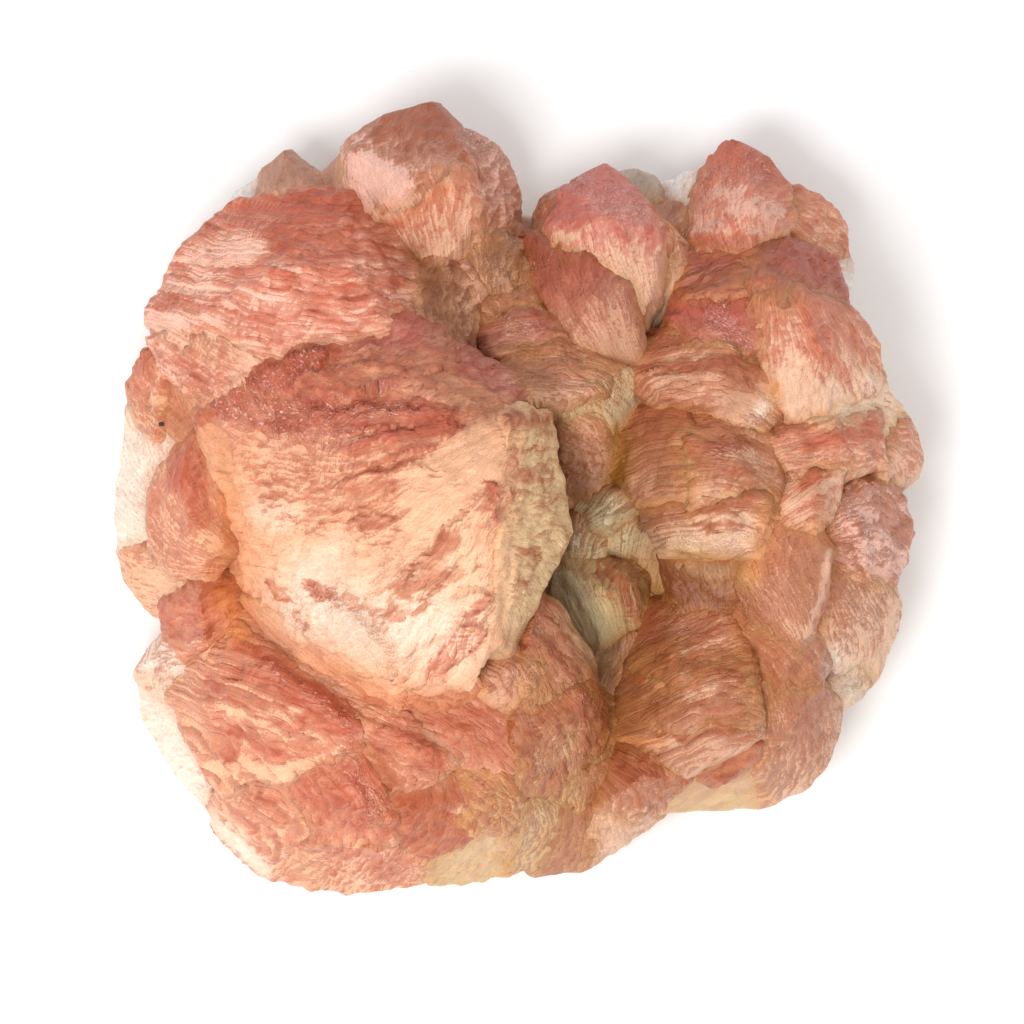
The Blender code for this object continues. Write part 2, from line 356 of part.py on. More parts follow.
def crystal_points(foot, corners):
    """The corners of the faces, the wider ring under them, and three points around the foot."""
    points = [Vector(corner) for corner in corners]
    middle = middle_of(points)
    for corner in list(points):
        out = (corner - middle).xy.normalized() * SWELL
        home = -corner.xy.normalized() * SWELL * min(corner.xy.length / EDGE_RADIUS, 1) ** 4
        points.append(Vector((corner.x + out.x + home.x, corner.y + out.y + home.y, corner.z - SWELL_DROP)))
    axis = (middle - Vector(foot)).normalized()
    side = axis.orthogonal().normalized()
    other = axis.cross(side)
    for turn in (2 * math.pi * k / 3 for k in range(3)):
        points.append(Vector(foot) + FOOT_SPREAD * (side * math.cos(turn) + other * math.sin(turn)))
    return points


def base_points():
    """Corners of the base lump, level by level up its side."""
    return [(x * spread, y * spread, height) for height, spread in BASE_LEVELS for x, y in BASE_OUTLINE]


def shard_points(centre, along, across, normal, reach, width, rise, rng):
    """A flat plate that lies along the streaks: its tip end stands proud, its other end sinks into the face."""
    top = []
    for k in range(SHARD_CORNERS):
        turn = 2 * math.pi * (k + rng.uniform(-0.25, 0.25)) / SHARD_CORNERS
        lift = rise * (0.15 + 0.85 * (0.5 + 0.5 * math.cos(turn)))
        top.append(centre + along * reach * math.cos(turn) + across * width * math.sin(turn) + normal * lift)
    root = [centre + along * reach * a + across * width * b - normal * SHARD_DEPTH
            for a, b in ((0.3, 0.35), (0.3, -0.35), (-0.6, 0.0))]
    return top + root


def height_at(x, y, skin):
    return skin.ray_cast(Vector((x, y, 100)), Vector((0, 0, -1)))[0].z


def ledge_points(x, y, tip_x, tip_y, width, rise, skin):
    """A long plate that follows the skin below it and ends in a step at its tip."""
    start, run = Vector((x, y)), Vector((tip_x - x, tip_y - y))
    side = run.orthogonal().normalized() * width
    points = []
    for along, across, lift in ((0, 0, 0.1), (0.3, 0.45, 0.5), (0.35, -0.45, 0.5), (0.85, 0.5, 1), (0.8, -0.5, 1),
                                (1, 0.1, 1)):
        spot = start + run * along + side * across
        ground = height_at(spot.x, spot.y, skin)
        points.append(Vector((spot.x, spot.y, ground + rise * lift)))
        points.append(Vector((spot.x, spot.y, ground - LEDGE_DEPTH * lift)))
    return points


def shards_on(foot, corners, skin, taken, rng):
    """Point lists of the shards on those faces of one crystal that look up and lie open."""
    crystal = bmesh.new()
    hull_into(crystal, crystal_points(foot, corners))
    crystal.normal_update()
    found = []
    for face in sorted(crystal.faces, key=lambda f: tuple(round(c, 7) for c in f.calc_center_median())):
        if face.normal.z < LEAST_UP:
            continue
        middle = face.calc_center_median() / MM
        a, b, c = sorted((v.co / MM for v in face.verts), key=tuple)
        for _ in range(rng.poisson(face.calc_area() / MM ** 2 / SHARD_EDGE ** 2)):
            s, t = sorted(rng.uniform(0, 1, 2))
            centre = (a * s + b * (t - s) + c * (1 - t)).lerp(middle, SHARD_INWARD)
            reach = rng.uniform(*SHARD_REACH)
            width = reach * SHARD_ASPECT * rng.uniform(0.8, 1.3)
            rise = rng.uniform(*SHARD_RISE)
            shade = height_at(centre.x, centre.y, skin) - centre.z
            if shade > SHARD_SHADED or centre.xy.length > SHARD_RIM:
                continue
            if any((centre - other).length < SHARD_APART for other in taken):
                continue
            taken.append(centre)
            ray = centre - Vector(foot)
            along = (ray - face.normal * ray.dot(face.normal)).normalized()
            across = face.normal.cross(along)
            found.append(shard_points(centre, along, across, face.normal.copy(), reach, width, rise, rng))
    crystal.free()
    return found


def skin_of(point_lists):
    """A search tree over the hulls of the point lists, in millimetres."""
    solids = bmesh.new()
    for points in point_lists:
        hull_into(solids, points)
    bmesh.ops.scale(solids, vec=(1 / MM, 1 / MM, 1 / MM), verts=solids.verts)
    skin = BVHTree.FromBMesh(solids)
    solids.free()
    return skin


def object_from(name, mesh, collection):
    data = bpy.data.meshes.new(name)
    mesh.to_mesh(data)
    mesh.free()
    obj = bpy.data.objects.new(name, data)
    collection.objects.link(obj)
    return obj


def operand(name, point_lists, collection):
    """One hidden object made of the hulls of the point lists."""
    solids = bmesh.new()
    for points in point_lists:
        hull_into(solids, points)
    obj = object_from(name, solids, collection)
    obj.hide_render = True
    obj.display_type = "WIRE"
    return obj


def combine(target, other, operation):
    """Applies an exact Boolean of the other object to the target."""
    step = target.modifiers.new(operation.lower(), "BOOLEAN")
    step.operation = operation
    step.object = other
    step.solver = "EXACT"
    step.use_self = operation == "UNION"
    view = bpy.context.evaluated_depsgraph_get()
    data = bpy.data.meshes.new_from_object(target.evaluated_get(view))
    target.modifiers.clear()
    target.data = data


def keep_outer_shell(mesh):
    """Removes every closed shell but the largest: pockets shut in between the crystals and loose chips."""
    left = set(mesh.verts)
    shells = []
    while left:
        shell = [left.pop()]
        for vert in shell:
            near = {edge.other_vert(vert) for edge in vert.link_edges} & left
            left -= near
            shell.extend(near)
        shells.append(shell)
    shells.sort(key=len)
    bmesh.ops.delete(mesh, geom=[vert for shell in shells[:-1] for vert in shell], context="VERTS")


def tidy(obj):
    mesh = bmesh.new()
    mesh.from_mesh(obj.data)
    keep_outer_shell(mesh)
    bmesh.ops.remove_doubles(mesh, verts=mesh.verts, dist=SEAM * MM)
    bmesh.ops.dissolve_limit(mesh, angle_limit=FLAT_ENOUGH, verts=mesh.verts, edges=mesh.edges)
    bmesh.ops.triangulate(mesh, faces=mesh.faces, quad_method="BEAUTY", ngon_method="BEAUTY")
    bmesh.ops.recalc_face_normals(mesh, faces=mesh.faces)
    mesh.to_mesh(obj.data)
    mesh.free()


def stilbite_material():
    material = bpy.data.materials.new("stilbite")
    material.use_nodes = True
    surface = material.node_tree.nodes["Principled BSDF"]
    surface.inputs["Base Color"].default_value = STILBITE_COLOUR
    surface.inputs["Roughness"].default_value = STILBITE_ROUGHNESS
    return material


def clear_scene():
    for obj in list(bpy.data.objects):
        bpy.data.objects.remove(obj, do_unlink=True)


def new_collection(name):
    collection = bpy.data.collections.new(name)
    bpy.context.scene.collection.children.link(collection)
    return collection


def main():
    clear_scene()
    parts = new_collection("stilbite_specimen")
    cutters = new_collection("cutters")
    rng = np.random.default_rng(SEED)

    base = bmesh.new()
    hull_into(base, base_points())
    cluster = object_from(NODE, base, parts)

    solids = [crystal_points(foot, corners) for foot, corners in CRYSTALS.values()]
    skin = skin_of(solids)
    solids += [ledge_points(*ledge, skin) for ledge in LEDGES]
    taken = [Vector(((x + tip_x) / 2, (y + tip_y) / 2, 40)) for x, y, tip_x, tip_y, _, _ in LEDGES]
    for foot, corners in CRYSTALS.values():
        solids += shards_on(foot, corners, skin, taken, rng)
    combine(cluster, operand("crystals", solids, cutters), "UNION")

    below = [(x, y, z) for x in (-60, 60) for y in (-60, 60) for z in (-10, 0)]
    combine(cluster, operand("rock_side", [below], cutters), "DIFFERENCE")

    tidy(cluster)
    cluster.data.materials.clear()
    cluster.data.materials.append(stilbite_material())


main()
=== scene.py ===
"""Stilbite specimen, dressed: sheaves of crystals with a salmon coating, grown on a paler lump.

Lengths are millimetres until a mesh is made.  +Z is up, away from the rock; the crystals' tips lean to +Y.
"""

import math
from functools import cache
from itertools import combinations, product

import bpy
import numpy as np
from bpy.props import FloatProperty, FloatVectorProperty, PointerProperty
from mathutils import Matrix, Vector


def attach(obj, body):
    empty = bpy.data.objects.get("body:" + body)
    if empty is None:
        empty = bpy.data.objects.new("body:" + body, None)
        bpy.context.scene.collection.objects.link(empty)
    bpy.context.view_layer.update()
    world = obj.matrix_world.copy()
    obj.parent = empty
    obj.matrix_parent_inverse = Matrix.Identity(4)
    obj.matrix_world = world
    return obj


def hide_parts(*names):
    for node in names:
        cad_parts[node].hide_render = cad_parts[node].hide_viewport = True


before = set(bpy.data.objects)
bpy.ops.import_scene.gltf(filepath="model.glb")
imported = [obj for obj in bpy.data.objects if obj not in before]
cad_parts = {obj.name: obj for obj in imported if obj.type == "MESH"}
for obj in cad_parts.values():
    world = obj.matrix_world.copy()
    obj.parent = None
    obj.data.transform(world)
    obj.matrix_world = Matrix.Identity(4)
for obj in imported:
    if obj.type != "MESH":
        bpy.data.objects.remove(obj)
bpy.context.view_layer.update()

bl_info = {
    "name": "Stilbite Specimen",
    "version": (1, 0, 0),
    "blender": (4, 5, 0),
    "location": "View3D > Sidebar > Stilbite",
    "description": "Builds a cluster of salmon and cream stilbite sheaves and its stage",
    "category": "Add Mesh",
}

MM = 0.001
NODE = "stilbite_cluster"

RENDER_WIDTH = 1024  # pixels
PIXELS_PER_MM = 8.21  # at the height VIEW_LEVEL
VIEW_LEVEL = 30 * MM  # about the middle height of the crystals' faces
VIEW_WIDTH = RENDER_WIDTH / PIXELS_PER_MM * MM
VIEW_MIDDLE = (-0.37 * MM, -1.46 * MM)  # x and y of the place that the camera stands over
SENSOR = 36  # millimetres, as Blender counts a camera's sensor and lens
# Each light: name, place, size and power in watts.
LIGHTS = (("key", (-0.32, -0.34, 0.9), 0.5, 7.0), ("fill", (0.3, 0.2, 0.9), 0.6, 1.6))
LIT_PLACE = Vector((0, 0, 0.02))  # both lights point at it
SKY_STRENGTH = 0.72
FLOOR_REACH = 3  # metres to each side
SHARP_ANGLE = 38  # degrees: a sharper bend between faces isn't shaded smooth
DIRT = ((-43.4, 9.3, 0.34), (-42.5, 9.2, 0.26), (-41.9, 9.0, 0.2), (-42.9, 9.7, 0.16))  # x, y, radius

FOOT_SPREAD = 2.0  # the three buried points of a crystal lie this far round its foot
SWELL_DROP = 3.0  # a crystal is widest this far below the corners of its faces
SWELL = 1.6  # and wider there by this much
EDGE_RADIUS = 48.0  # corners this far from the middle lie on the cluster's own edge and don't swell out
SOFTNESS = 340  # the higher, the sharper the edges between a crystal's faces
STREAK_LENGTH = 3.2  # a streak is this many times as long as it is wide
FAR_AWAY = 9.0  # where no other crystal is near
GLOWING_SIDE = -8  # crystals whose middle lies left of this get painted glow in their creases, others painted honey orange
PALE_GLAZES = ("frost", "cream", "sand")  # these lie under the coating and hardly change it

BASE_OUTLINE = [
    (47, 4), (44, 20), (36, 32), (22, 36), (2, 32), (-16, 38), (-34, 33), (-44, 18), (-47, -2), (-43, -26),
    (-34, -42), (-14, -46), (6, -44), (24, -37), (38, -30), (46, -14),
]
BASE_LEVELS = [(0, 0.86), (2.8, 0.90), (9.2, 0.953), (14.4, 0.87)]  # height, share of the outline
BASE_COUNT = 241  # points along each side of the lump's grid

# Each crystal: (foot, corners of its faces).
CRYSTALS = {
    # The great fan on the left, which spreads to the right and towards the viewer.
    "great_fan": ((-33, -8, 9), [
        (-38.7, 10.3, 27), (-31, 16.0, 33), (-24, 18.4, 36), (-12, 15, 41), (-2.5, 11, 44), (-1.2, 6, 46.5),
        (-3, -3, 48), (-3.2, -16.5, 43), (-6.5, -21.8, 42.5), (-14.7, -22, 42.5), (-20, -18.8, 39),
        (-26, -16, 33), (-33.5, -10, 23), (-35.5, 1, 26), (-20, 7, 44.5), (-12, -10, 47.5), (-8, 2, 48.5)]),
    "great_fan_flank": ((-26, -6, 12), [
        (-1.5, 9.5, 45.5), (1, 10.4, 42), (4.0, 9.2, 37), (3.5, 1, 38), (5.6, -3.9, 36), (2.8, -9.6, 38),
        (0.6, -15.4, 37), (-0.6, -18.2, 37), (-3.2, -17, 42), (-2, -6, 47)]),
    "fan_skirt": ((-24, -10, 14), [
        (-33.4, -12, 24), (-29.6, -16.8, 27), (-24.4, -20.2, 31), (-18.5, -23.6, 34), (-14.2, -25.6, 35),
        (-7.4, -24.8, 35.6), (-4.6, -22.6, 36.6), (-8, -20, 40), (-15, -20.5, 40), (-21, -17, 36),
        (-27, -13.5, 30.5)]),
    "dark_wedge": ((-9, 18, 8), [
        (-13, 27.4, 24.5), (-9.6, 30, 22.5), (-6.4, 27, 23.5), (-5, 22, 27), (-6.6, 18.8, 30),
        (-11.6, 20.4, 30)]),
    "great_fan_brow": ((-24, 0, 14), [
        (-22.5, 16.5, 36), (-18, 20.4, 33), (-13, 22.3, 32), (-9.8, 20.6, 33), (-9, 16, 39), (-13, 13.5, 42),
        (-20, 13, 41.5)]),
    "great_fan_brow_right": ((-20, 0, 14), [
        (-11, 19.2, 34), (-7.6, 18.7, 34), (-4.6, 16.8, 35), (-2, 15.2, 36), (0, 13.0, 38), (-1.8, 11.5, 42),
        (-7, 11, 44.5), (-12, 13, 43)]),
    # The fan above it.
    "upper_left_fan": ((-27, 12, 10), [
        (-45.8, 22.5, 15), (-41, 31.3, 15), (-34, 36.8, 16), (-27.5, 37.9, 18), (-20.5, 38, 20),
        (-14.6, 34, 22), (-12, 25, 26), (-15, 20, 33), (-24, 17, 35), (-33, 15, 31), (-42, 19.5, 23),
        (-29, 28, 34.5), (-20, 28.5, 34), (-36, 24, 30)]),
    "upper_left_feather": ((-31, 6, 10), [
        (-45.4, 19.8, 18), (-43, 20.6, 20), (-35, 20, 30), (-31, 17, 33), (-33, 14, 32), (-38, 11.5, 27),
        (-42.5, 16, 22)]),
    # The back row, with tips that lean away.
    "small_peak": ((-25, 24, 6), [
        (-28.5, 43.1, 12), (-31.2, 40.8, 12), (-31.6, 38.2, 12), (-31.3, 36, 14), (-29.4, 37.4, 18.6),
        (-24, 39.6, 12), (-22, 36, 16)]),
    "small_peak_side": ((-20, 24, 6), [
        (-24.5, 39.9, 11), (-22, 42.2, 13), (-20.3, 43, 16), (-18.5, 37, 20), (-21.5, 35.5, 19)]),
    "top_block": ((-9, 25, 7), [
        (-20.5, 44.6, 15), (-16, 47.5, 15), (-13.4, 48.3, 15), (-10.3, 49.1, 15), (-7.9, 46.6, 18),
        (-6, 42, 24), (-9.5, 40, 29), (-13, 38.3, 28.5), (-17, 35, 25), (-20, 39.5, 20.5), (-20, 43, 19.5)]),
    "top_block_front": ((-10, 22, 8), [
        (-16.8, 35, 24.5), (-9.5, 40.4, 28.5), (-6.2, 41, 25), (-5, 36, 24.5), (-5.6, 33, 23.5),
        (-9.4, 28.6, 22), (-13.5, 31, 22)]),
    "top_block_right": ((-5, 24, 7), [
        (-8.2, 46.7, 13), (-5, 45.1, 12), (-2.6, 43.6, 12), (-1.3, 40.6, 12), (-0.3, 36.5, 13),
        (-0.9, 33, 16), (-4, 31, 20), (-5.2, 36, 23), (-7, 42.5, 21)]),
    "tooth": ((17, 18, 8), [
        (6.8, 38, 17), (9, 39.4, 15), (11.4, 41.1, 14), (13.5, 39.1, 16), (15.9, 36, 21), (17.8, 33, 24),
        (17.4, 28, 26), (15.6, 22.4, 25.6), (12.6, 27.4, 26.4), (6.5, 30.8, 23.4), (5, 33.5, 21),
        (10.5, 34.5, 26.5)]),
    "tooth_left": ((12, 20, 8), [
        (3.2, 34.5, 13), (4.2, 37.2, 12), (6.2, 38.7, 12), (7.6, 37.4, 15), (7, 33, 20), (4.2, 32, 19)]),
    "tooth_right": ((16.5, 19, 8), [
        (16, 36.2, 18), (18.2, 33.6, 20), (20.7, 31, 20), (21.4, 28.4, 20), (20.4, 25.4, 20), (17, 20.3, 19),
        (16.6, 28, 24)]),
    "grey_back_crystal": ((15, 24, 5), [
        (12.4, 39.6, 10), (13.9, 40.3, 9), (15.3, 40.7, 9), (16.8, 39.8, 9), (17.7, 38, 10), (17.8, 35.6, 11),
        (14, 35, 13)]),
    "brown_back_crystal": ((18, 22, 6), [
        (16, 36.6, 11), (19.6, 36.5, 12), (22.2, 35.3, 13), (22.9, 33.5, 14), (22.3, 29.5, 16),
        (19.5, 29, 18), (17.5, 33, 17)]),
    "top_right_block": ((28, 20, 7), [
        (22.3, 36.5, 13), (24.8, 41.6, 12), (26.9, 44.3, 12), (29.4, 42.6, 12.5), (31.2, 42.2, 13),
        (33.6, 38.8, 14), (34.6, 35.5, 17), (33.4, 32.6, 21), (28.3, 31.0, 24), (24.5, 32.2, 22.5),
        (22.1, 33, 18), (29, 36.5, 23)]),
    "top_right_shell": ((32, 22, 6), [
        (33.4, 38.9, 12), (35.6, 38.8, 11), (39.2, 36.5, 11), (40.6, 34.7, 11), (41.2, 31, 12),
        (38, 29.8, 17), (34.5, 31, 20), (34, 35, 18)]),
    "white_left_of_block": ((23, 26, 5), [
        (19.2, 36.8, 9), (19.9, 39.2, 9), (21.8, 40.2, 9), (23.4, 40.9, 10), (24.4, 39, 12), (22.8, 35, 13),
        (20, 35.8, 11)]),
    "white_right_knob": ((36, 24, 5), [
        (40.2, 30.8, 10), (41.5, 29.5, 9), (41.8, 28, 9), (41, 26.3, 9), (39, 26, 13), (39, 29.5, 13)]),
    "white_upper_left": ((-28, 24, 5), [
        (-36.4, 35.8, 10), (-34.6, 38, 9), (-32.6, 39.3, 9), (-31, 39.5, 10), (-30, 36, 13), (-34, 34, 13)]),
    # The middle of the back, down to the crevice.
    "middle_tooth": ((10, 13, 8), [
        (1.8, 32.2, 18), (4.2, 32, 20), (8.8, 29.8, 25.4), (13.2, 26, 28.4), (14.8, 21, 28), (15, 17.2, 26.5),
        (12, 16, 27.5), (6.6, 19.5, 27), (3, 25.5, 23), (10, 24, 29.5)]),
    "middle_left_wedge": ((-1, 18, 8), [
        (-7.6, 30, 19), (-5.3, 32.5, 20), (-2.5, 32.6, 19), (0.6, 31, 19), (-0.6, 25.5, 23), (-4.2, 23.4, 22),
        (-6.4, 27, 21)]),
    "middle_saddle": ((2, 18, 8), [
        (-0.5, 32.8, 14), (2.6, 32.4, 15), (3.5, 26, 21), (-0.5, 24.5, 22), (1.5, 28, 21)]),
    "glassy_blade": ((-3, 14, 9), [
        (-8.4, 28, 21), (-6.1, 28.9, 22.5), (-4.6, 25, 24), (-3.6, 21, 24), (-5, 20.5, 22), (-8.6, 25, 21)]),
    "middle_low_step": ((1, 12, 9), [
        (-3.9, 23.8, 24), (-1.6, 24.2, 24), (1.6, 26, 22.5), (4.6, 21.5, 25.5), (0, 20.5, 28), (-3.4, 21, 26)]),
    "gloss_step": ((2, 8, 10), [
        (-3.2, 20.3, 28), (-1, 22.2, 27), (1.8, 22.4, 27), (4, 21.1, 27.5), (6, 18.8, 28.5), (2, 17, 31),
        (-2.4, 17.5, 31)]),
    "brow_of_crevice": ((4, 4, 12), [
        (-2.2, 15.8, 32), (0.2, 18.2, 30), (4.6, 19.4, 29), (9, 17.4, 29), (13.2, 15.8, 28.5), (9, 13, 33),
        (1, 11.5, 36)]),
    "pale_crevice_crystal": ((9, 0, 12), [
        (4.6, 15.6, 30), (10, 16.4, 29), (13.8, 15.2, 28.5), (14.3, 11, 26.5), (12.4, 7.6, 26),
        (9.6, 10.6, 29), (5.2, 11, 32), (10.5, 13.6, 31.5)]),
    "crevice_step": ((6, -2, 12), [
        (4.8, 12.2, 31), (9.3, 11.5, 30), (12.3, 6.8, 27), (12.1, 4, 25), (10.4, 2, 24), (6, 5.6, 27),
        (8.5, 8.6, 30.5)]),
    # Inside the crevice.
    "pocket_brown": ((7, -4, 8), [
        (4.6, 6.4, 21), (7.2, 6, 21), (8.9, 3, 20), (8.6, 0.6, 20), (5, -1, 20)]),
    "pocket_upper": ((11, -4, 8), [
        (7, 0, 19), (10, 2.4, 21), (12.2, 3.4, 22), (14.2, 3.1, 23), (16, 1, 24), (15.2, -1, 24),
        (10.6, -3.2, 21.5), (12.6, 0.4, 25)]),
    "pocket_small": ((8, -8, 8), [
        (6.6, -3, 18), (7.6, -1, 19), (9.2, -2, 20), (10.7, -4.6, 19.5), (10.5, -8, 17.5), (6.4, -7.2, 17)]),
    "pocket_green_left": ((13, -8, 8), [
        (10.8, -2.4, 18), (14.6, -1, 20), (18.8, -4, 21), (17.8, -7, 20), (11, -6, 17.5), (15, -3.6, 22)]),
    "pocket_yellow": ((16, -12, 8), [
        (12.8, -5.6, 17.5), (15.2, -5, 19), (19.3, -6.4, 20), (20, -10, 20), (18.6, -12.5, 18),
        (14, -10, 16.5)]),
    "pocket_green": ((10, -16, 7), [
        (4.4, -8.4, 16), (6.2, -7.4, 17.5), (11.8, -9, 20.5), (13.6, -8.5, 21), (15.1, -9.8, 21.5),
        (15.3, -15, 20), (10.2, -19.8, 16), (5, -14.5, 15), (11.4, -11.6, 24)]),
    "pocket_mauve": ((15, -15, 8), [
        (15.1, -11.2, 18), (17.8, -12.2, 18), (17.5, -14, 17.5), (15.4, -15.2, 17)]),
    "pocket_plate": ((12, -22, 8), [
        (8.8, -20, 18), (13.8, -17, 20), (17, -15.2, 19), (15.2, -19.4, 19), (12, -24.4, 20), (9.2, -24, 20)]),
    # The right side, from the top.
    "right_shoulder": ((27, 14, 9), [
        (22, 31, 18), (25.2, 31.2, 20), (30, 31, 23), (30.6, 26.5, 30), (26.5, 24.6, 28.5), (21, 24.8, 25),
        (21, 28, 21)]),
    "right_knob": ((32, 16, 9), [
        (29.4, 31, 22.5), (31.6, 32.3, 21.5), (33.6, 32.3, 21), (37.9, 30.7, 19), (39.7, 29.1, 18),
        (40.9, 25.8, 18), (40.9, 22.5, 21), (33, 23.5, 33), (29.4, 27, 30.5), (34, 28, 27.5)]),
    "right_big_face": ((33.5, 8, 9), [
        (30.4, 25.2, 31.5), (35, 25.6, 31), (41, 23.4, 22), (43.2, 21.9, 20), (44.8, 19, 18),
        (45.2, 15.6, 18), (44.3, 13.8, 21), (38, 11, 28), (34.4, 9.4, 29.5), (32.3, 12.5, 31.5),
        (31.2, 19, 33), (37, 19.5, 33)]),
    "right_gloss_wedge": ((25, 12, 10), [
        (19.4, 22.2, 24.5), (21.2, 25, 24), (26, 25, 27), (29.4, 24, 29.5), (31.2, 19.4, 31),
        (28, 17.6, 31.5), (22, 19, 29)]),
    "right_upper_wedge": ((21, 6, 10), [
        (13.8, 15.6, 27), (16.8, 19.6, 24), (20, 20.9, 25), (24, 20.3, 28), (28, 18, 31), (32.4, 13, 29.5),
        (31.2, 9.6, 30.5), (29.6, 7.6, 31), (24.5, 11.4, 34), (18, 12.5, 32), (25, 16, 34)]),
    "right_middle_left": ((18, -2, 10), [
        (12.6, 8.6, 25), (14.4, 10.6, 26), (18, 12.1, 27.5), (20.8, 10.6, 32), (23, 3, 37), (22, 0.5, 37),
        (15.4, 0.8, 31), (12.9, 4.4, 27), (19, 7, 33.5)]),
    "right_middle": ((25, -2, 10), [
        (19.8, 11.4, 28.5), (22, 12.9, 28.5), (25, 12.9, 28.5), (30.4, 8, 31), (31.8, 4, 32.5), (32, 0.5, 33),
        (30, -1, 36.5), (22, 0, 38), (21, 7, 35), (27, 4.5, 37)]),
    "right_ledge": ((24, -5, 10), [
        (15.7, 0.3, 29), (20, 0.9, 33), (26, 1, 37), (29.8, 0.4, 37.5), (31.2, -2, 34.5), (29, -6.3, 35),
        (25, -5.7, 36.5), (19, -6.2, 31.5), (17.8, -4.4, 29.5), (25.5, -2.6, 39)]),
    "right_wedge": ((34, -4, 10), [
        (31.8, -0.8, 32), (34, 1.9, 31.5), (36.5, 3.8, 31), (40.4, 4.1, 28.5), (38, -1.2, 32),
        (36.2, -3.9, 33), (33, -2.8, 33), (36.4, 1, 34)]),
    "right_band": ((36, 4, 9), [
        (30.8, 7.6, 31.5), (37, 9.2, 30), (44.8, 10.6, 22), (45.3, 4.6, 23), (40, 3.8, 29), (34, 2.6, 32),
        (39.5, 7, 30.5)]),
    "right_band_upper": ((37, 8, 9), [
        (35.2, 9.3, 29.5), (40, 12, 26), (45, 14.4, 18), (46.5, 13, 15), (48.1, 10.2, 13), (45.6, 8, 20),
        (39, 8.2, 29)]),
    "right_end_knob": ((42, 4, 7), [
        (45, 9.3, 18), (48.2, 10.2, 14), (49.6, 8.4, 12), (50.3, 6, 12), (50.3, 3.8, 12), (48.4, 2.2, 13),
        (46.8, 1.6, 15), (44.8, 3, 21), (47.2, 6.2, 19)]),
    "right_gloss_fan": ((37, -8, 8), [
        (36.8, -3, 28), (39.2, -0.3, 28), (42.2, 1.3, 25.5), (45.3, 3, 19), (47.9, 0, 14), (48.8, -4, 13),
        (48.4, -7.6, 12.5), (46.8, -10.8, 13.5), (43, -10.6, 21), (38.2, -7, 27), (42, -3.4, 28.5)]),
    "right_flat_plate": ((33, -14, 10), [
        (31.8, -1.9, 31.5), (36.3, -3.9, 32.5), (38.4, -7, 30.5), (37.4, -11.5, 31.5), (36.2, -15.6, 32.5),
        (34.8, -17.4, 32.5), (30.2, -13.9, 31.5), (28, -9.4, 30.5), (28.6, -6, 31), (33, -9.5, 34.5)]),
    "right_lower_fan": ((38, -10, 8), [
        (38, -7, 26), (44, -10.2, 20), (46.6, -11.4, 15), (47.9, -13.2, 13), (46.9, -17, 12),
        (45, -21.4, 11.5), (43, -23.4, 11.5), (38.2, -20.4, 23), (36.6, -15.4, 28), (41, -14.6, 25.5)]),
    "right_lower_tip": ((37, -17, 6), [
        (37.8, -19.6, 22), (41, -20.4, 18.5), (44.6, -21.8, 11), (42, -24.9, 9.5), (40, -26.9, 9.5),
        (38.6, -25, 16)]),
    "crevice_right_plate": ((22, -14, 9), [
        (18.8, -6.2, 24.5), (22, -6.2, 28), (27.6, -6.6, 31), (28.4, -11.6, 27), (26, -13.6, 26.5),
        (20, -13.6, 23)]),
    "lower_block": ((22, -20, 8), [
        (17.6, -13, 21), (23.4, -12.1, 23.5), (26, -13.5, 26), (29, -20, 30), (28.6, -23, 32),
        (20, -22, 31.5), (14.6, -20, 22)]),
    "lower_block_middle": ((22, -24, 8), [
        (14.2, -20.6, 21.5), (20, -19.6, 29), (28.8, -19.8, 31), (29.3, -27, 32.5), (21, -27.2, 33.5),
        (13, -26, 22), (24, -23.5, 34.5)]),
    "lower_block_ledge": ((22, -26, 8), [
        (12.2, -29.2, 20), (14, -25, 22), (21, -25, 31), (29.2, -24.6, 31.5), (29.5, -29.2, 31.5),
        (27, -30.1, 31), (21.5, -33, 27.5), (17, -30.3, 25.5), (24, -28, 33.5)]),
    "right_side_plate": ((31, -20, 9), [
        (27.4, -11.4, 27), (31, -14.4, 29.5), (34.8, -17.2, 30), (36.2, -15.8, 29.5), (38.1, -20, 25.5),
        (36.6, -22.6, 27), (32, -23.7, 30), (29, -19.4, 28), (26.4, -14.6, 26), (33, -19, 31)]),
    "lower_right_fan": ((33, -20, 7), [
        (29.8, -22, 29), (33.5, -22.3, 29.5), (37.2, -22.4, 26), (39.9, -26.8, 16), (39.8, -29, 14),
        (38.5, -33, 12), (35.6, -36, 10.5), (31.2, -37.7, 10.5), (30.2, -33, 22), (29.6, -27, 28),
        (34, -27, 27.5)]),
    "lower_base_face": ((26, -24, 5), [
        (19, -34.5, 19), (25, -33, 23), (29.8, -30.6, 25), (31.4, -37.7, 9.5), (25, -38.1, 8),
        (18.6, -38.1, 8), (16.6, -38.6, 10)]),
    "lower_chip": ((26, -26, 9), [
        (22.4, -33.2, 24.5), (24.6, -30.6, 28.5), (29.6, -29.8, 27.5), (29, -32.2, 25), (25.2, -34.8, 22.5)]),
    "lower_middle_fan": ((15, -28, 7), [
        (11.6, -31.8, 19.5), (14, -30.4, 21.5), (17.2, -30.8, 23), (21.5, -33.7, 22), (19, -36.2, 20),
        (15.6, -39.6, 17.5), (10.6, -37.6, 20), (15.4, -34, 25.5)]),
    "lower_middle_base": ((12, -30, 4), [
        (10.6, -36.6, 20), (15.2, -38.6, 17), (17.8, -39.3, 9), (14.6, -41, 8.5), (12.8, -43.2, 8.5),
        (8.6, -45.6, 8.5), (8.8, -40, 17)]),
    # The lower left fan and its companions.
    "lower_left_fan": ((-33, -16, 9), [
        (-34.4, -16.4, 26), (-30, -20.3, 32), (-22, -25.4, 36.5), (-18, -28, 36), (-19.6, -30.6, 35),
        (-28, -34, 30), (-36, -36.2, 20), (-39.2, -31, 19), (-42.8, -24.7, 16), (-38, -20, 22.5),
        (-28.5, -26.5, 36), (-35, -25, 30)]),
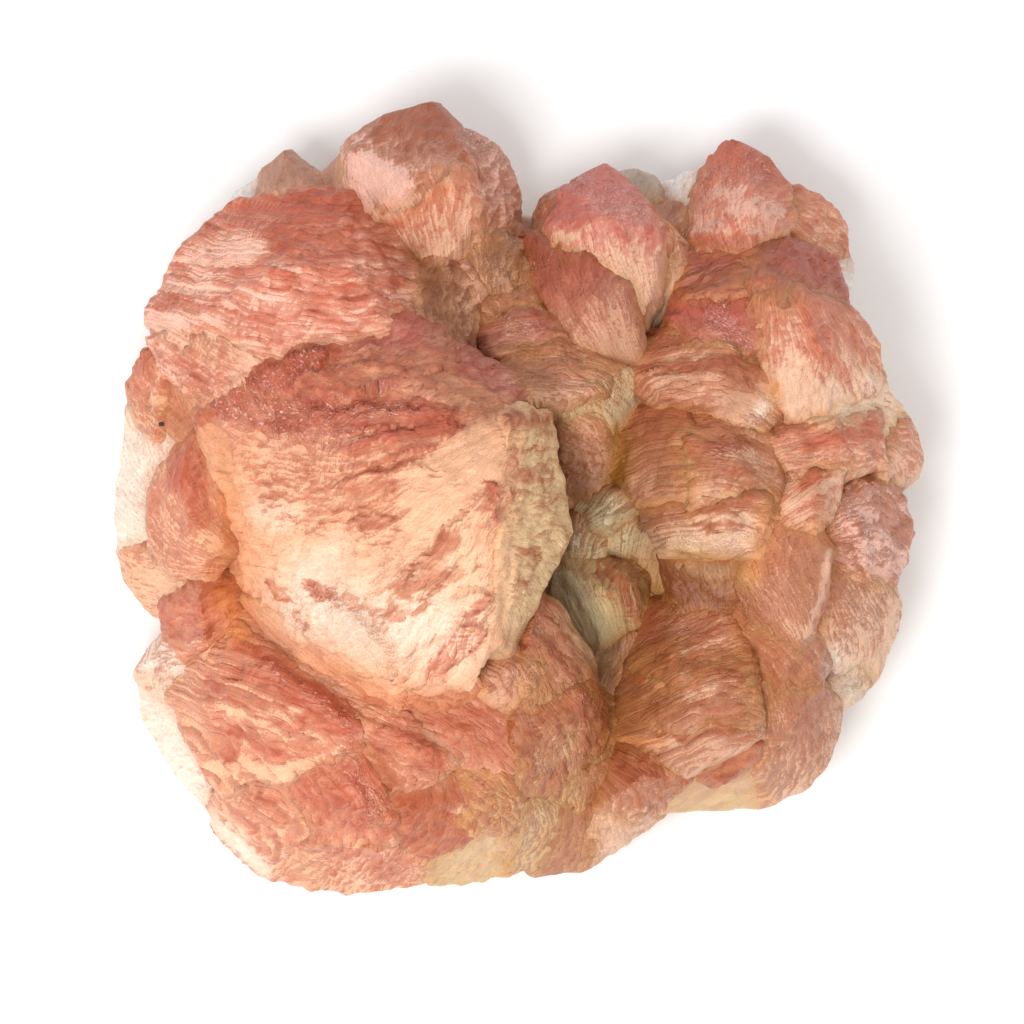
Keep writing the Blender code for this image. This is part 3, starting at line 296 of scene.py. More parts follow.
    "crevice_lip": ((-30, -12, 9), [
        (-33.4, -13, 22), (-30, -16.6, 25), (-22, -19.6, 30), (-15, -24.2, 33), (-14, -27.5, 34.5),
        (-20, -27, 35), (-28, -21.6, 31), (-34.6, -17, 24)]),
    "crevice_lip_right": ((-14, -16, 10), [
        (-17, -23.4, 32), (-10, -25, 32), (-4.6, -23.6, 33), (-1.6, -26, 34), (0.2, -28.6, 34),
        (-0.6, -33.6, 33), (-8, -32, 35), (-14, -27.5, 35), (-5, -28, 36)]),
    "tongue": ((-20, -20, 9), [
        (-19.4, -26.3, 35), (-13.6, -25.6, 35), (-8.4, -30.4, 36), (-7.6, -32.2, 36), (-10, -34.3, 35.5),
        (-15, -34.6, 34), (-18.2, -30, 35), (-13, -30, 38.5)]),
    "lower_left_plate": ((-24, -28, 8), [
        (-26, -31.6, 31.5), (-19.4, -30.4, 34), (-16, -35.8, 32.5), (-14.7, -39, 31), (-15.6, -42, 27),
        (-24.6, -42, 25), (-27.4, -36, 28.5), (-20.4, -36.6, 34.5)]),
    "lower_left_corner": ((-28, -30, 6), [
        (-36, -35.4, 21), (-28, -33.8, 28.5), (-25, -40, 27), (-24.6, -47.6, 11.5), (-30, -46.8, 10),
        (-33.4, -45, 10), (-37.2, -41, 10.5), (-37.6, -37.8, 13), (-30, -39.6, 25.5)]),
    "bottom_plate": ((-18, -32, 6), [
        (-26, -41.4, 25), (-16, -41.8, 27), (-10.6, -44.4, 20), (-12.6, -47.6, 10.5), (-20.6, -48.5, 9),
        (-25.4, -48.2, 9), (-19, -43.6, 24)]),
    "bottom_middle_plate": ((-10, -28, 7), [
        (-15.4, -34.4, 32), (-8, -32.8, 34.5), (-4.4, -36.6, 32.5), (-6, -41.4, 27), (-11, -43.8, 22),
        (-15.4, -41.6, 26), (-10, -37, 34)]),
    "bottom_right_plate": ((-4, -28, 7), [
        (-7.4, -32, 34), (-1, -33.2, 33), (0, -37, 31.5), (-1.4, -40.4, 28), (-7, -40, 29), (-4, -35.8, 35)]),
    "bottom_rim": ((-5, -32, 5), [
        (-11.4, -43, 22), (-4, -40, 26.5), (0, -40.4, 25), (-0.8, -45.7, 11), (-5, -47.1, 9),
        (-10.4, -47.8, 9)]),
    "small_under_fan": ((-3, -17, 12), [
        (-3.6, -16.8, 35), (1.4, -19.5, 36), (2.2, -20.8, 36), (1.4, -23.4, 35.5), (-0.6, -25.5, 35),
        (-5, -22.8, 34), (-1.4, -21, 38)]),
    "flank_upper": ((0, -18, 10), [
        (3, -12, 31), (5.2, -13.8, 30), (8.9, -20, 27.5), (8.8, -24, 29), (2, -25.4, 35), (0.4, -22, 36),
        (1.6, -16.6, 35.5)]),
    "flank_lower": ((2, -24, 8), [
        (0.6, -23.8, 35.5), (8.6, -23.4, 30.5), (10.3, -26.6, 26), (9.9, -30.4, 23.5), (7, -34.2, 23),
        (4.4, -36.2, 25), (-0.4, -35.4, 31), (-0.2, -28.4, 35), (5, -28, 33.5)]),
    "flank_small": ((8, -26, 7), [
        (9.8, -24.2, 23), (11.6, -24.8, 21.5), (12.7, -26.5, 20), (12.3, -29.2, 19), (11.2, -32.8, 19),
        (9.2, -31.8, 22)]),
    "flank_step": ((7, -29, 7), [
        (5, -35.6, 23.5), (7.2, -33.4, 24), (11.4, -32.2, 20.5), (12, -34.6, 18.5), (10, -37, 18),
        (5.2, -38.6, 20.5)]),
    "flank_foot": ((6, -34, 4), [
        (3.6, -40.4, 19.5), (5.2, -37.4, 22), (10.2, -37.6, 18), (9.6, -42, 14), (8.8, -45.6, 9.5),
        (4.4, -46.1, 9), (2.4, -46.5, 9)]),
    "flank_rim": ((1, -34, 5), [
        (-1, -40.6, 25), (0, -37.6, 28), (3.2, -35.4, 25.5), (4.9, -38, 22.5), (4.4, -42, 17),
        (2.2, -45.4, 10.5), (-1.4, -45.7, 11)]),
    # The left edge.
    "left_blade": ((-40, 6, 6), [
        (-45.4, 18.3, 14), (-43, 16.6, 18), (-43.2, 11, 19), (-44.6, 7.6, 18), (-47.7, 11.8, 10),
        (-48.1, 14.4, 10), (-47.4, 15.8, 11)]),
    "left_recess": ((-38, 6, 8), [
        (-43.4, 16.6, 16.5), (-39.6, 14, 21), (-38.2, 9.6, 22), (-41, 7.4, 19.5), (-43.8, 9.6, 16.5)]),
    "left_white_face": ((-40, -2, 4), [
        (-47.7, 12, 10), (-44, 9.4, 16.5), (-40, 9, 19.5), (-41, 3, 19.5), (-44.4, -4.4, 17),
        (-48.8, -6.4, 9), (-49.8, -2, 8), (-48.4, 2, 8), (-47.9, 8, 9)]),
    "left_plate": ((-38, -6, 8), [
        (-39.3, 8.5, 23), (-36, 3.4, 26.5), (-35.4, -5.4, 28), (-38.4, -9, 26), (-42, -8.6, 22),
        (-44.9, -5.6, 18), (-44.6, 1.6, 18), (-42.4, 5.2, 20), (-41, 3, 26.5), (-39.2, -5, 28.5)]),
    "left_low_plate": ((-40, -10, 5), [
        (-49.1, -6.6, 9), (-45, -5.2, 16.5), (-40, -8.4, 21.5), (-40.6, -11.4, 20), (-45.4, -13.6, 9.5),
        (-48.4, -9.9, 8.5)]),
    "left_block": ((-37, -14, 7), [
        (-43.6, -13.4, 18), (-38.6, -8.9, 23), (-35, -10.2, 24), (-33.6, -13.6, 23), (-37.6, -19.2, 22.5),
        (-41, -18.8, 20), (-43.1, -16.2, 17), (-38.4, -12.6, 27), (-37.8, -17, 25.5)]),
    "left_lower_plate": ((-39, -18, 5), [
        (-43.2, -16.6, 14), (-37.8, -18.8, 21), (-39.6, -22.8, 19), (-42.8, -25, 14.5), (-46.9, -22, 8),
        (-45.1, -19.1, 8)]),
    "left_white_rim": ((-38, -26, 3), [
        (-46.8, -22, 8), (-42.6, -22, 15), (-38, -34, 18), (-36.6, -38.4, 14), (-39, -37.4, 8),
        (-42, -34.1, 8), (-44.2, -30.4, 8), (-46.2, -27, 8)]),
}

# Long plates that end in a step: foot x, y, tip x, y, width, rise.  The solid has all but the last seven,
# which line the great fan's right edge.
LEDGES = [
    (-37.5, 11.0, -22.5, 17.6, 3.0, 1.0), (-33.0, 11.5, -12.3, 16.0, 3.6, 1.1),
    (-31.0, 9.6, -7.0, 9.8, 2.6, 1.0), (-30.0, 3.4, -6.0, 8.2, 3.0, 0.9), (-27.5, -1.4, -10.5, 3.2, 4.0, 1.0),
    (-25.0, -6.0, -14.0, -3.0, 4.4, 0.8), (-17.0, -17.0, -2.0, 1.6, 3.4, 1.5),
    (-25.5, -10.6, -14.8, -21.0, 4.4, 1.4), (-30.0, -9.6, -24.8, -15.6, 2.6, 1.0),
    (-12.0, -20.6, -3.9, -15.2, 3.6, 1.2), (-9.5, -13.5, -3.0, -11.6, 2.6, 1.0),
    (-1.0, 3.4, 4.6, 2.6, 3.4, 1.0), (-0.6, -5.6, 3.2, -7.6, 3.0, 1.0), (-30.0, 17.4, -42.6, 24.6, 3.4, 1.0),
    (-28.0, 18.4, -37.6, 31.6, 3.8, 1.1), (-27.0, 19.0, -29.0, 33.6, 3.6, 1.0),
    (-24.0, 20.0, -20.4, 33.4, 4.2, 1.1), (-21.0, 20.6, -13.6, 29.0, 3.6, 1.0),
    (-31.0, -20.6, -19.6, -28.0, 3.0, 1.1), (-34.0, -21.0, -24.0, -31.6, 3.2, 1.0),
    (-36.6, -23.0, -33.6, -34.0, 3.0, 1.0), (-19.0, -27.0, -9.0, -32.0, 3.0, 1.0),
    (-21.6, -33.0, -18.4, -40.0, 3.4, 1.0), (34.6, 11.0, 38.8, 21.6, 3.4, 1.0),
    (18.0, 3.0, 28.0, 3.6, 3.0, 1.0), (17.6, -1.0, 27.6, -3.0, 3.2, 1.2),
    (15.0, -22.0, 28.0, -21.6, 2.8, 1.0), (14.6, -26.0, 28.6, -25.6, 2.8, 1.0),
    (19.0, 15.0, 29.6, 14.6, 3.6, 1.0), (1.2, 5.0, 1.0, 10.6, 6.0, 1.8), (1.2, -2.5, 1.0, 3.6, 4.6, 1.8),
    (-3.4, -3.0, -2.9, 1.9, 2.6, 0.9), (1.0, -11.0, 0.8, -5.6, 3.2, 1.6), (0.6, -14.5, 0.4, -9.7, 2.6, 1.4),
    (-5.0, -17.5, -4.8, -12.8, 2.6, 0.9), (3.2, -4.4, 3.9, 0.4, 2.6, 1.5),
]

# Families of crystals, one piece each.
FAMILIES = {
    "great_fan": ("great_fan",),
    "great_fan_sides": ("great_fan_flank", "great_fan_brow", "great_fan_brow_right", "fan_skirt",
                        "dark_wedge"),
    "upper_left_fan": ("upper_left_fan", "upper_left_feather"),
    "back_left_blocks": ("small_peak", "small_peak_side", "top_block", "top_block_front", "top_block_right",
                         "white_upper_left"),
    "back_middle_teeth": ("tooth", "tooth_left", "tooth_right", "grey_back_crystal", "brown_back_crystal",
                          "middle_tooth"),
    "back_right_blocks": ("top_right_block", "top_right_shell", "white_left_of_block", "white_right_knob"),
    "middle_steps": ("middle_left_wedge", "middle_saddle", "glassy_blade", "middle_low_step", "gloss_step",
                     "brow_of_crevice", "pale_crevice_crystal", "crevice_step"),
    "crevice_crystals": ("pocket_brown", "pocket_upper", "pocket_small", "pocket_green_left", "pocket_yellow",
                         "pocket_green", "pocket_mauve", "pocket_plate"),
    "right_shoulder": ("right_shoulder", "right_knob", "right_big_face"),
    "right_middle": ("right_gloss_wedge", "right_upper_wedge", "right_middle_left", "right_middle",
                     "right_ledge"),
    "right_edge": ("right_wedge", "right_band", "right_band_upper", "right_end_knob", "right_gloss_fan"),
    "right_lower": ("right_flat_plate", "right_lower_fan", "right_lower_tip", "right_side_plate",
                    "lower_right_fan"),
    "lower_block": ("crevice_right_plate", "lower_block", "lower_block_middle", "lower_block_ledge",
                    "lower_chip", "lower_base_face", "lower_middle_fan", "lower_middle_base"),
    "lower_left_fan": ("lower_left_fan", "crevice_lip", "crevice_lip_right", "tongue", "lower_left_plate",
                       "lower_left_corner", "bottom_middle_plate"),
    "lower_rim": ("bottom_plate", "bottom_right_plate", "bottom_rim", "left_white_rim"),
    "flank": ("small_under_fan", "flank_upper", "flank_lower", "flank_small", "flank_step", "flank_foot",
              "flank_rim"),
    "left_edge": ("left_blade", "left_recess", "left_white_face", "left_plate", "left_low_plate", "left_block",
                  "left_lower_plate"),
}

# Finish of each crystal: colour of the bare mineral, colour of the coating, the side of its coated end in
# degrees seen from above (0 is the right, 90 the back), how heavily that end is coated and how heavily the
# other end is.
FINISHES = {
    "great_fan": ("peach", "salmon", 100, 0.8, -1.0),
    "great_fan_flank": ("butter", "clay", 90, -0.4, -0.9),
    "fan_skirt": ("glow", "salmon", 270, 0.0, -0.9),
    "dark_wedge": ("tan", "umber", 90, 0.8, -0.3),
    "great_fan_brow": ("shell", "rose", 90, 1.3, 1.0),
    "great_fan_brow_right": ("shell", "terracotta", 90, 1.1, 0.4),
    "upper_left_fan": ("petal", "salmon", 70, 1.3, -0.2),
    "upper_left_feather": ("petal", "salmon", 90, 0.3, -0.3),
    "small_peak": ("fawn", "fawn", 90, 0.6, 0.2),
    "small_peak_side": ("fawn", "fawn", 90, 0.4, -0.4),
    "top_block": ("shell", "brick", 60, 1.9, -0.4),
    "top_block_front": ("sand", "salmon", 110, 0.8, -0.5),
    "top_block_right": ("shell", "brick", 90, 0.6, 0.1),
    "white_upper_left": ("chalk", "shell", 90, -0.5, -0.6),
    "tooth": ("sand", "coral", 100, 1.9, -1.2),
    "tooth_left": ("shell", "brick", 90, 0.9, 0.5),
    "tooth_right": ("cream", "salmon", 110, 0.8, -1.1),
    "grey_back_crystal": ("ash", "ash", 90, 0, 0),
    "brown_back_crystal": ("ash", "brick", 120, 0.9, 0.0),
    "middle_tooth": ("tan", "terracotta", 115, 2.4, -1.1),
    "top_right_block": ("blush", "salmon", 90, 2.0, -0.8),
    "top_right_shell": ("sand", "salmon", 100, 0.9, 0.0),
    "white_left_of_block": ("chalk", "shell", 0, -0.4, -1),
    "white_right_knob": ("chalk", "shell", 90, -0.5, -1),
    "middle_left_wedge": ("tan", "umber", 90, 0.5, -0.1),
    "middle_saddle": ("tan", "brick", 90, 0.9, 0.2),
    "glassy_blade": ("shell", "brick", 90, 0.1, -0.6),
    "middle_low_step": ("tan", "brick", 90, 0.6, 0.3),
    "gloss_step": ("shell", "rose", 90, 0.9, 0.3),
    "brow_of_crevice": ("sand", "brick", 90, 0.9, -0.3),
    "pale_crevice_crystal": ("sage", "brick", 120, 0.4, -0.9),
    "crevice_step": ("tan", "brick", 90, 0.5, -0.4),
    "pocket_brown": ("tan", "umber", 90, 1.0, 0.5),
    "pocket_upper": ("sage", "umber", 90, 1.3, -0.7),
    "pocket_small": ("sage", "umber", 120, 0.9, -0.7),
    "pocket_green_left": ("sage", "umber", 90, 0.1, -0.7),
    "pocket_yellow": ("moss", "umber", 90, 0.3, -0.6),
    "pocket_green": ("lichen", "brick", 40, 0.2, -1.0),
    "pocket_mauve": ("mauve", "mauve", 90, 0.5, 0.2),
    "pocket_plate": ("mauve", "umber", 90, 0.1, 0.1),
    "right_shoulder": ("tan", "terracotta", 90, 1.7, 0.9),
    "right_knob": ("tan", "terracotta", 90, 1.6, 0.8),
    "right_big_face": ("sand", "salmon", 80, 0.8, -0.9),
    "right_gloss_wedge": ("shell", "rose", 90, 1.6, 0.7),
    "right_upper_wedge": ("tan", "brick", 100, 1.0, -0.4),
    "right_middle_left": ("tan", "brick", 90, 1.4, -0.1),
    "right_middle": ("tan", "brick", 90, 1.3, -0.3),
    "right_ledge": ("sand", "brick", 90, 0.9, -0.8),
    "right_wedge": ("sand", "salmon", 110, 0.9, -0.4),
    "right_band": ("sand", "salmon", 90, 0.5, 0.0),
    "right_band_upper": ("cream", "salmon", 90, -0.2, -0.9),
    "right_end_knob": ("sand", "salmon", 80, 0.5, -0.5),
    "right_gloss_fan": ("shell", "brick", 60, 0.6, -0.2),
    "right_flat_plate": ("tan", "brick", 100, 0.8, 0.3),
    "right_lower_fan": ("sand", "brick", 150, 0.5, -0.4),
    "right_lower_tip": ("cream", "shell", 90, -0.4, -1),
    "right_side_plate": ("tan", "brick", 90, 0.9, 0.7),
    "lower_right_fan": ("sand", "brick", 130, 1.0, -0.2),
    "crevice_right_plate": ("tan", "umber", 90, 1.3, 1.0),
    "lower_block": ("sand", "brick", 110, 1.3, 0.4),
    "lower_block_middle": ("sand", "brick", 110, 1.1, 0.3),
    "lower_block_ledge": ("sand", "brick", 110, 0.9, 0.0),
    "lower_chip": ("tan", "rust", 90, 1.4, 0.6),
    "lower_base_face": ("wheat", "sand", 90, 0.0, -0.8),
    "lower_middle_fan": ("sand", "brick", 90, 1.5, 0.1),
    "lower_middle_base": ("sand", "tan", 90, 0.5, -0.6),
    "lower_left_fan": ("peach", "salmon", 45, 0.8, 0.0),
    "crevice_lip": ("peach", "salmon", 60, 0.9, 0.1),
    "crevice_lip_right": ("tan", "salmon", 60, 1.0, 0.4),
    "tongue": ("peach", "salmon", 60, 0.8, 0.3),
    "lower_left_plate": ("peach", "salmon", 80, 1.2, 0.7),
    "lower_left_corner": ("peach", "salmon", 60, 0.8, 0.1),
    "bottom_middle_plate": ("sand", "rust", 100, 1.6, 1.1),
    "bottom_plate": ("peach", "salmon", 90, 0.7, 0.1),
    "bottom_right_plate": ("wheat", "rust", 90, 0.6, -0.1),
    "bottom_rim": ("wheat", "sand", 90, 0.0, -0.6),
    "left_white_rim": ("milk", "shell", 0, -0.5, -1.2),
    "small_under_fan": ("sand", "brick", 90, 0.7, -0.6),
    "flank_upper": ("sand", "brick", 90, 1.1, 0.5),
    "flank_lower": ("wheat", "brick", 110, 1.1, 0.3),
    "flank_small": ("straw", "brick", 90, 0.5, -0.3),
    "flank_step": ("straw", "brick", 90, 0.6, 0.1),
    "flank_foot": ("straw", "brick", 90, 1.1, 0.5),
    "flank_rim": ("straw", "brick", 90, 0.3, -0.1),
    "left_blade": ("peach", "salmon", 90, 0.9, 0.1),
    "left_recess": ("peach", "salmon", 90, 0.9, 0.4),
    "left_white_face": ("milk", "shell", 0, 0.3, -0.8),
    "left_plate": ("peach", "salmon", 60, 0.8, 0.1),
    "left_low_plate": ("peach", "salmon", 60, 0.3, -0.5),
    "left_block": ("peach", "salmon", 120, 1.2, 0.4),
    "left_lower_plate": ("milk", "salmon", 90, 0.3, -0.7),
}

# Patches where the coating is heavier or lighter: x, y, x, y along the middle, half width, how much.
COAT_STROKES = {
    "great_fan": [
        (-38.5, 10.3, -33, 14.4, 1, 1), (-33, 14.4, -22, 18.4, 1.1, 0.7), (-36, 10.8, -5, 13.5, 3.4, 0.35),
        (-32, 8.6, -8, 9.4, 1.5, 0.1), (-31, 6.6, -23, 6.9, 1.4, -0.3), (-20, 6.2, -7, 8.8, 0.8, 0.4),
        (-14, 7.4, -9, 12, 2.4, 0.45), (-31, 10, -28, 0, 2.4, -0.3), (-17, 3.2, -8, 5.6, 0.8, 0.6),
        (-26, 0.9, -12, 1.6, 0.6, 0.6), (-26, -0.9, -14, -1.1, 0.7, 0.6), (-25, -3.1, -16, -3.2, 0.6, 0.4),
        (-12, 1, -3, 8.4, 2.2, -1.3), (-7, -1, -4, 5, 2.6, -1.3), (-11.5, -3, -7.4, 1, 1.5, -1.1),
        (-13.6, -11, -8, -5, 0.9, 1.2), (-8, -5, -2.4, 1, 0.9, 1.2), (-3.6, 1.2, -2.9, 1.7, 0.9, 1.4),
        (-12.5, -11, -9, -9.6, 1, 1.5), (-10, -9.6, -6.4, -8.7, 0.7, 1.5),
        (-14.6, -13.6, -11, -13.3, 0.9, 1.5), (-5.8, -13.9, -3.3, -12, 0.6, 1.5),
        (-9.6, -20.4, -4.4, -15.6, 1.4, 1.2), (-29.4, -10, -25.2, -15.2, 0.7, 1.5),
        (-25.5, -10.4, -21.8, -12.4, 0.8, 1.5), (-20.2, -12, -16.5, -14.2, 0.7, 1.2),
        (-16.4, -15.6, -14.4, -15.2, 0.6, 0.9), (-28, -14.6, -16, -19.6, 1.9, -1.2),
        (-21, -14.4, -16.6, -16.6, 1.1, -0.8), (-36, 7, -33.4, -11, 3, -1.4), (-31, -3.5, -27, -9, 2.6, -1.1),
        (-26, -6.4, -20, -9.4, 1.9, -0.9), (-8, -12, -4, -3, 1.6, -1), (-13, -18, -8, -12, 1, -0.8),
        (-22, -7, -12, -5.4, 2.2, -0.7), (-19, -8.6, -15, -7.4, 0.5, 0.6),
        (-17.5, -11.2, -13, -10.4, 0.7, 0.75)],
    "great_fan_brow_right": [
        (-10, 16.8, -4.4, 15, 0.5, 0.9), (-9.6, 13.6, -3, 12.6, 0.5, 0.9), (-8, 15, -4, 14, 0.5, -0.7)],
    "lower_left_corner": [(-37.5, -39, -31, -45.6, 0.9, -1.4)],
    "great_fan_flank": [
        (-0.4, 6.4, 3.4, 6.0, 0.4, 1.2), (0.4, 3.2, 3.6, 2.4, 0.5, 1.4), (0, -5.6, 2.6, -6.6, 0.5, 1.3),
        (0.2, -9.8, 2.0, -10.2, 0.4, 1.1), (-1, 0.4, 0.4, 1.2, 0.4, 1.1), (-1.5, 9.6, 4.2, 9.8, 0.7, 0.9)],
    "upper_left_fan": [
        (-38.5, 30, -32.6, 31, 2.1, -1.0), (-46, 21.6, -36.4, 22.4, 1.0, -0.66),
        (-35, 24, -26, 24.6, 0.8, -0.48), (-20, 28, -13.4, 28.4, 1.5, -0.54),
        (-17, 24.2, -13, 24.6, 1.0, -0.6), (-20.4, 22.4, -15, 21.6, 1.2, -0.54),
        (-32, 35, -15, 36.4, 2.0, 0.36), (-36, 28.4, -27, 26.6, 1.3, 0.48), (-44, 24.6, -37, 23.9, 1.0, 0.48),
        (-42, 28.2, -36, 26.8, 0.9, 0.42), (-28.5, 28.8, -26.4, 27.6, 0.9, -0.54),
        (-35, 32.6, -28, 33.4, 0.9, 0.36), (-33, 21.2, -25, 22.6, 0.9, 0.3), (-26, 24.6, -16, 23, 2.2, 0.45),
        (-38, 25, -31, 30, 2.6, -0.4), (-43, 25.8, -37.6, 26.4, 0.4, -0.54),
        (-42, 29.6, -38.6, 29.2, 0.5, -0.54)],
    "upper_left_feather": [
        (-43, 20.8, -32, 16.4, 0.45, -0.9), (-40, 20.4, -30.5, 15.6, 0.4, 0.7),
        (-42.6, 19.4, -35, 15.6, 0.4, 0.6), (-36.6, 20, -30.6, 16.8, 0.35, -0.9),
        (-42, 17.6, -35.6, 14.6, 0.5, 0.8), (-39, 13.6, -35, 11.6, 1.4, 0.6)],
    "top_block": [
        (-18.6, 41.2, -14.4, 38, 1.9, -1.8), (-20, 42.6, -15.4, 45.6, 0.35, 0.9),
        (-17, 35.6, -11, 39.4, 0.6, 0.9), (-19.6, 44.4, -17.6, 43.8, 0.5, -0.8)],
    "top_block_front": [
        (-14.6, 33.2, -9, 38.6, 0.5, 0.8), (-13, 32.2, -8.6, 35.6, 0.35, 0.7), (-12.4, 31, -8, 33, 0.3, 0.5)],
    "top_right_block": [
        (25.4, 38, 27, 37.4, 0.9, -1.2), (26.6, 35.4, 27.8, 35.6, 0.7, -1.0),
        (28.5, 37.2, 30, 36.4, 0.4, -0.9), (26, 34.6, 27, 32.2, 0.4, 1.0),
        (28.4, 35.6, 32.4, 35.8, 0.9, -0.9), (21.6, 31.8, 28.8, 31.4, 1.0, 1.3)],
    "tooth": [
        (4.4, 35, 7.6, 34.4, 1.6, 0.5), (5.6, 32.2, 7.4, 32, 0.6, -1.4), (4.8, 33.4, 6.4, 33.6, 0.4, -0.9),
        (8.6, 33.8, 9.4, 33.2, 0.5, -1.0), (12.4, 33.4, 13.6, 31.6, 0.4, 0.8),
        (16.6, 33.4, 17.2, 30.2, 0.5, 0.7)],
    "right_big_face": [
        (33.4, 24.6, 34.4, 12, 0.8, -0.56), (35.6, 23, 37.6, 14.6, 0.35, 0.49),
        (33.6, 23.6, 33, 20.8, 0.3, 0.56), (38, 17.6, 41.2, 13.2, 0.7, 0.63),
        (36.6, 13.6, 40.6, 10.6, 1.8, -0.49), (39, 22, 43.4, 17, 0.8, 0.35), (32.4, 14.8, 33.6, 9, 0.8, -0.7),
        (41.6, 15.6, 45, 14, 0.7, -0.7)],
    "right_middle": [
        (21.4, 5.6, 28.6, 7.2, 0.7, 0.8), (20.6, 8.2, 22, 5.2, 0.5, 0.9), (22, 4.2, 24.6, 3.6, 0.35, 0.7),
        (25, 3.2, 29.4, 3.0, 0.3, 0.8), (25.4, 1.8, 29.6, 1.7, 0.3, 0.7), (26.4, 5.8, 29.6, 5.0, 0.7, -0.8),
        (16, 4.4, 21, 4.8, 0.7, -0.8), (22, 1.4, 27, 0.9, 0.5, -0.7), (20, 11.6, 26, 11.4, 0.8, 0.7)],
    "right_ledge": [
        (16.4, -0.6, 28.6, 0.0, 0.5, 0.6), (20.6, -1.2, 24.6, -1.1, 0.3, 0.5),
        (21.6, -3.3, 28.8, -2.9, 0.4, 0.6), (19.6, -5.2, 28.4, -5.4, 1.1, -1.0),
        (21, -2.2, 28.6, -2.1, 0.5, -1.0)],
    "right_upper_wedge": [
        (16, 15.6, 27, 17.4, 0.6, 0.8), (26, 11, 30.6, 12.6, 1.6, -1.1), (17.4, 14.4, 24, 15.2, 0.5, -0.7),
        (18.4, 17.6, 23.6, 18, 0.3, -1.0)],
    "right_wedge": [
        (32, -1.4, 40, 3.2, 0.6, -1.0), (33, 1.4, 33.9, 2.3, 0.6, -1.2), (34.6, 2.2, 39, 3.8, 0.8, 0.7)],
    "right_band": [
        (37.8, 9.4, 44, 14.2, 0.9, -1.2), (41, 11.8, 43.4, 10.8, 0.5, 0.7), (36, 6.6, 44.6, 8.6, 1.0, 0.7),
        (40, 2, 45, 2.8, 0.7, -0.8)],
    "right_gloss_fan": [
        (39.6, -4.6, 42.6, -8.6, 0.3, 1.0), (41, -2.2, 45.6, -6.6, 0.3, 1.0),
        (40.8, -2.8, 43.8, -1.8, 0.6, -0.9), (43, -5.6, 44.6, -4.8, 0.7, -1.0),
        (44.6, -0.2, 47.4, -5, 1.0, 0.6), (45, -9.4, 48, -7, 0.8, -0.8), (42, -7.4, 45, -9, 0.4, -0.8)],
    "right_flat_plate": [
        (38.3, -6, 37.4, -11.5, 0.4, -1.1), (37.4, -11.5, 35.2, -16.6, 0.4, -1.1),
        (33, -15, 35.4, -16, 0.6, -0.5)],
    "right_lower_fan": [
        (45.6, -19, 46.4, -13, 0.8, -0.9), (37, -13, 38.6, -19, 1.0, -0.8), (40, -20, 45, -20.6, 0.8, -0.9)],
    "lower_block": [
        (17.4, -19.6, 22, -19.9, 0.5, 0.9), (20.4, -18.2, 25, -17.2, 0.4, -0.8),
        (22, -16, 26, -14.6, 0.3, -0.7)],
    "lower_block_middle": [
        (16.4, -22.4, 21, -21.8, 0.5, -1.0), (18, -24.6, 26.6, -21.4, 0.4, -0.8),
        (15, -21.4, 19, -20.8, 0.7, 0.8)],
    "lower_block_ledge": [
        (16.6, -27.6, 24, -26.6, 0.6, -1.0), (17, -28.6, 26, -28.2, 0.5, 0.9),
        (13, -29.4, 20, -29.4, 0.5, -1.0)],
    "lower_left_fan": [
        (-33.6, -17.4, -21, -25.4, 0.8, 0.9), (-37.6, -22, -32, -26, 0.5, 0.8),
        (-36.6, -26.8, -29, -31, 0.6, 0.7), (-33, -26, -27, -26.4, 0.9, -0.8),
        (-37, -32.4, -27, -33.6, 0.9, -1.0), (-33.6, -21, -26, -24.6, 0.9, 0.6),
        (-31, -28, -20.6, -29.6, 0.5, -0.7), (-26, -27, -20, -28, 0.6, 0.6),
        (-27.4, -32.4, -21, -30, 0.4, -1.0)],
    "tongue": [
        (-19.6, -31.6, -16.6, -38, 1.0, 0.6), (-16, -36, -15, -40, 0.5, -1.2), (-23, -35, -20, -40, 0.9, 0.5)],
    "bottom_middle_plate": [(-14.4, -33.4, -10.6, -31.6, 0.6, -1.3), (-7.2, -37.6, -6, -38.2, 0.6, -1.3)],
    "left_plate": [
        (-41, 4.6, -38, -2, 1.6, 0.7), (-44, -0.4, -41, 3, 0.7, 0.3), (-37.4, -4.6, -36, -6.4, 0.8, -1.0)],
    "left_low_plate": [(-45.8, -3.4, -43.8, -6.4, 0.9, 0.9), (-46, -9, -42.6, -10.4, 0.9, -0.8)],
    "left_blade": [(-43, 16.4, -44.2, 11.4, 0.35, -1.8)],
    "pocket_green": [(13.2, -10.4, 14.8, -14.4, 0.8, 0.8), (6, -8.4, 13, -9.4, 0.5, 0.8)],
    "pocket_green_left": [(5, -12, 7.4, -13.4, 0.3, 0.9)],
}
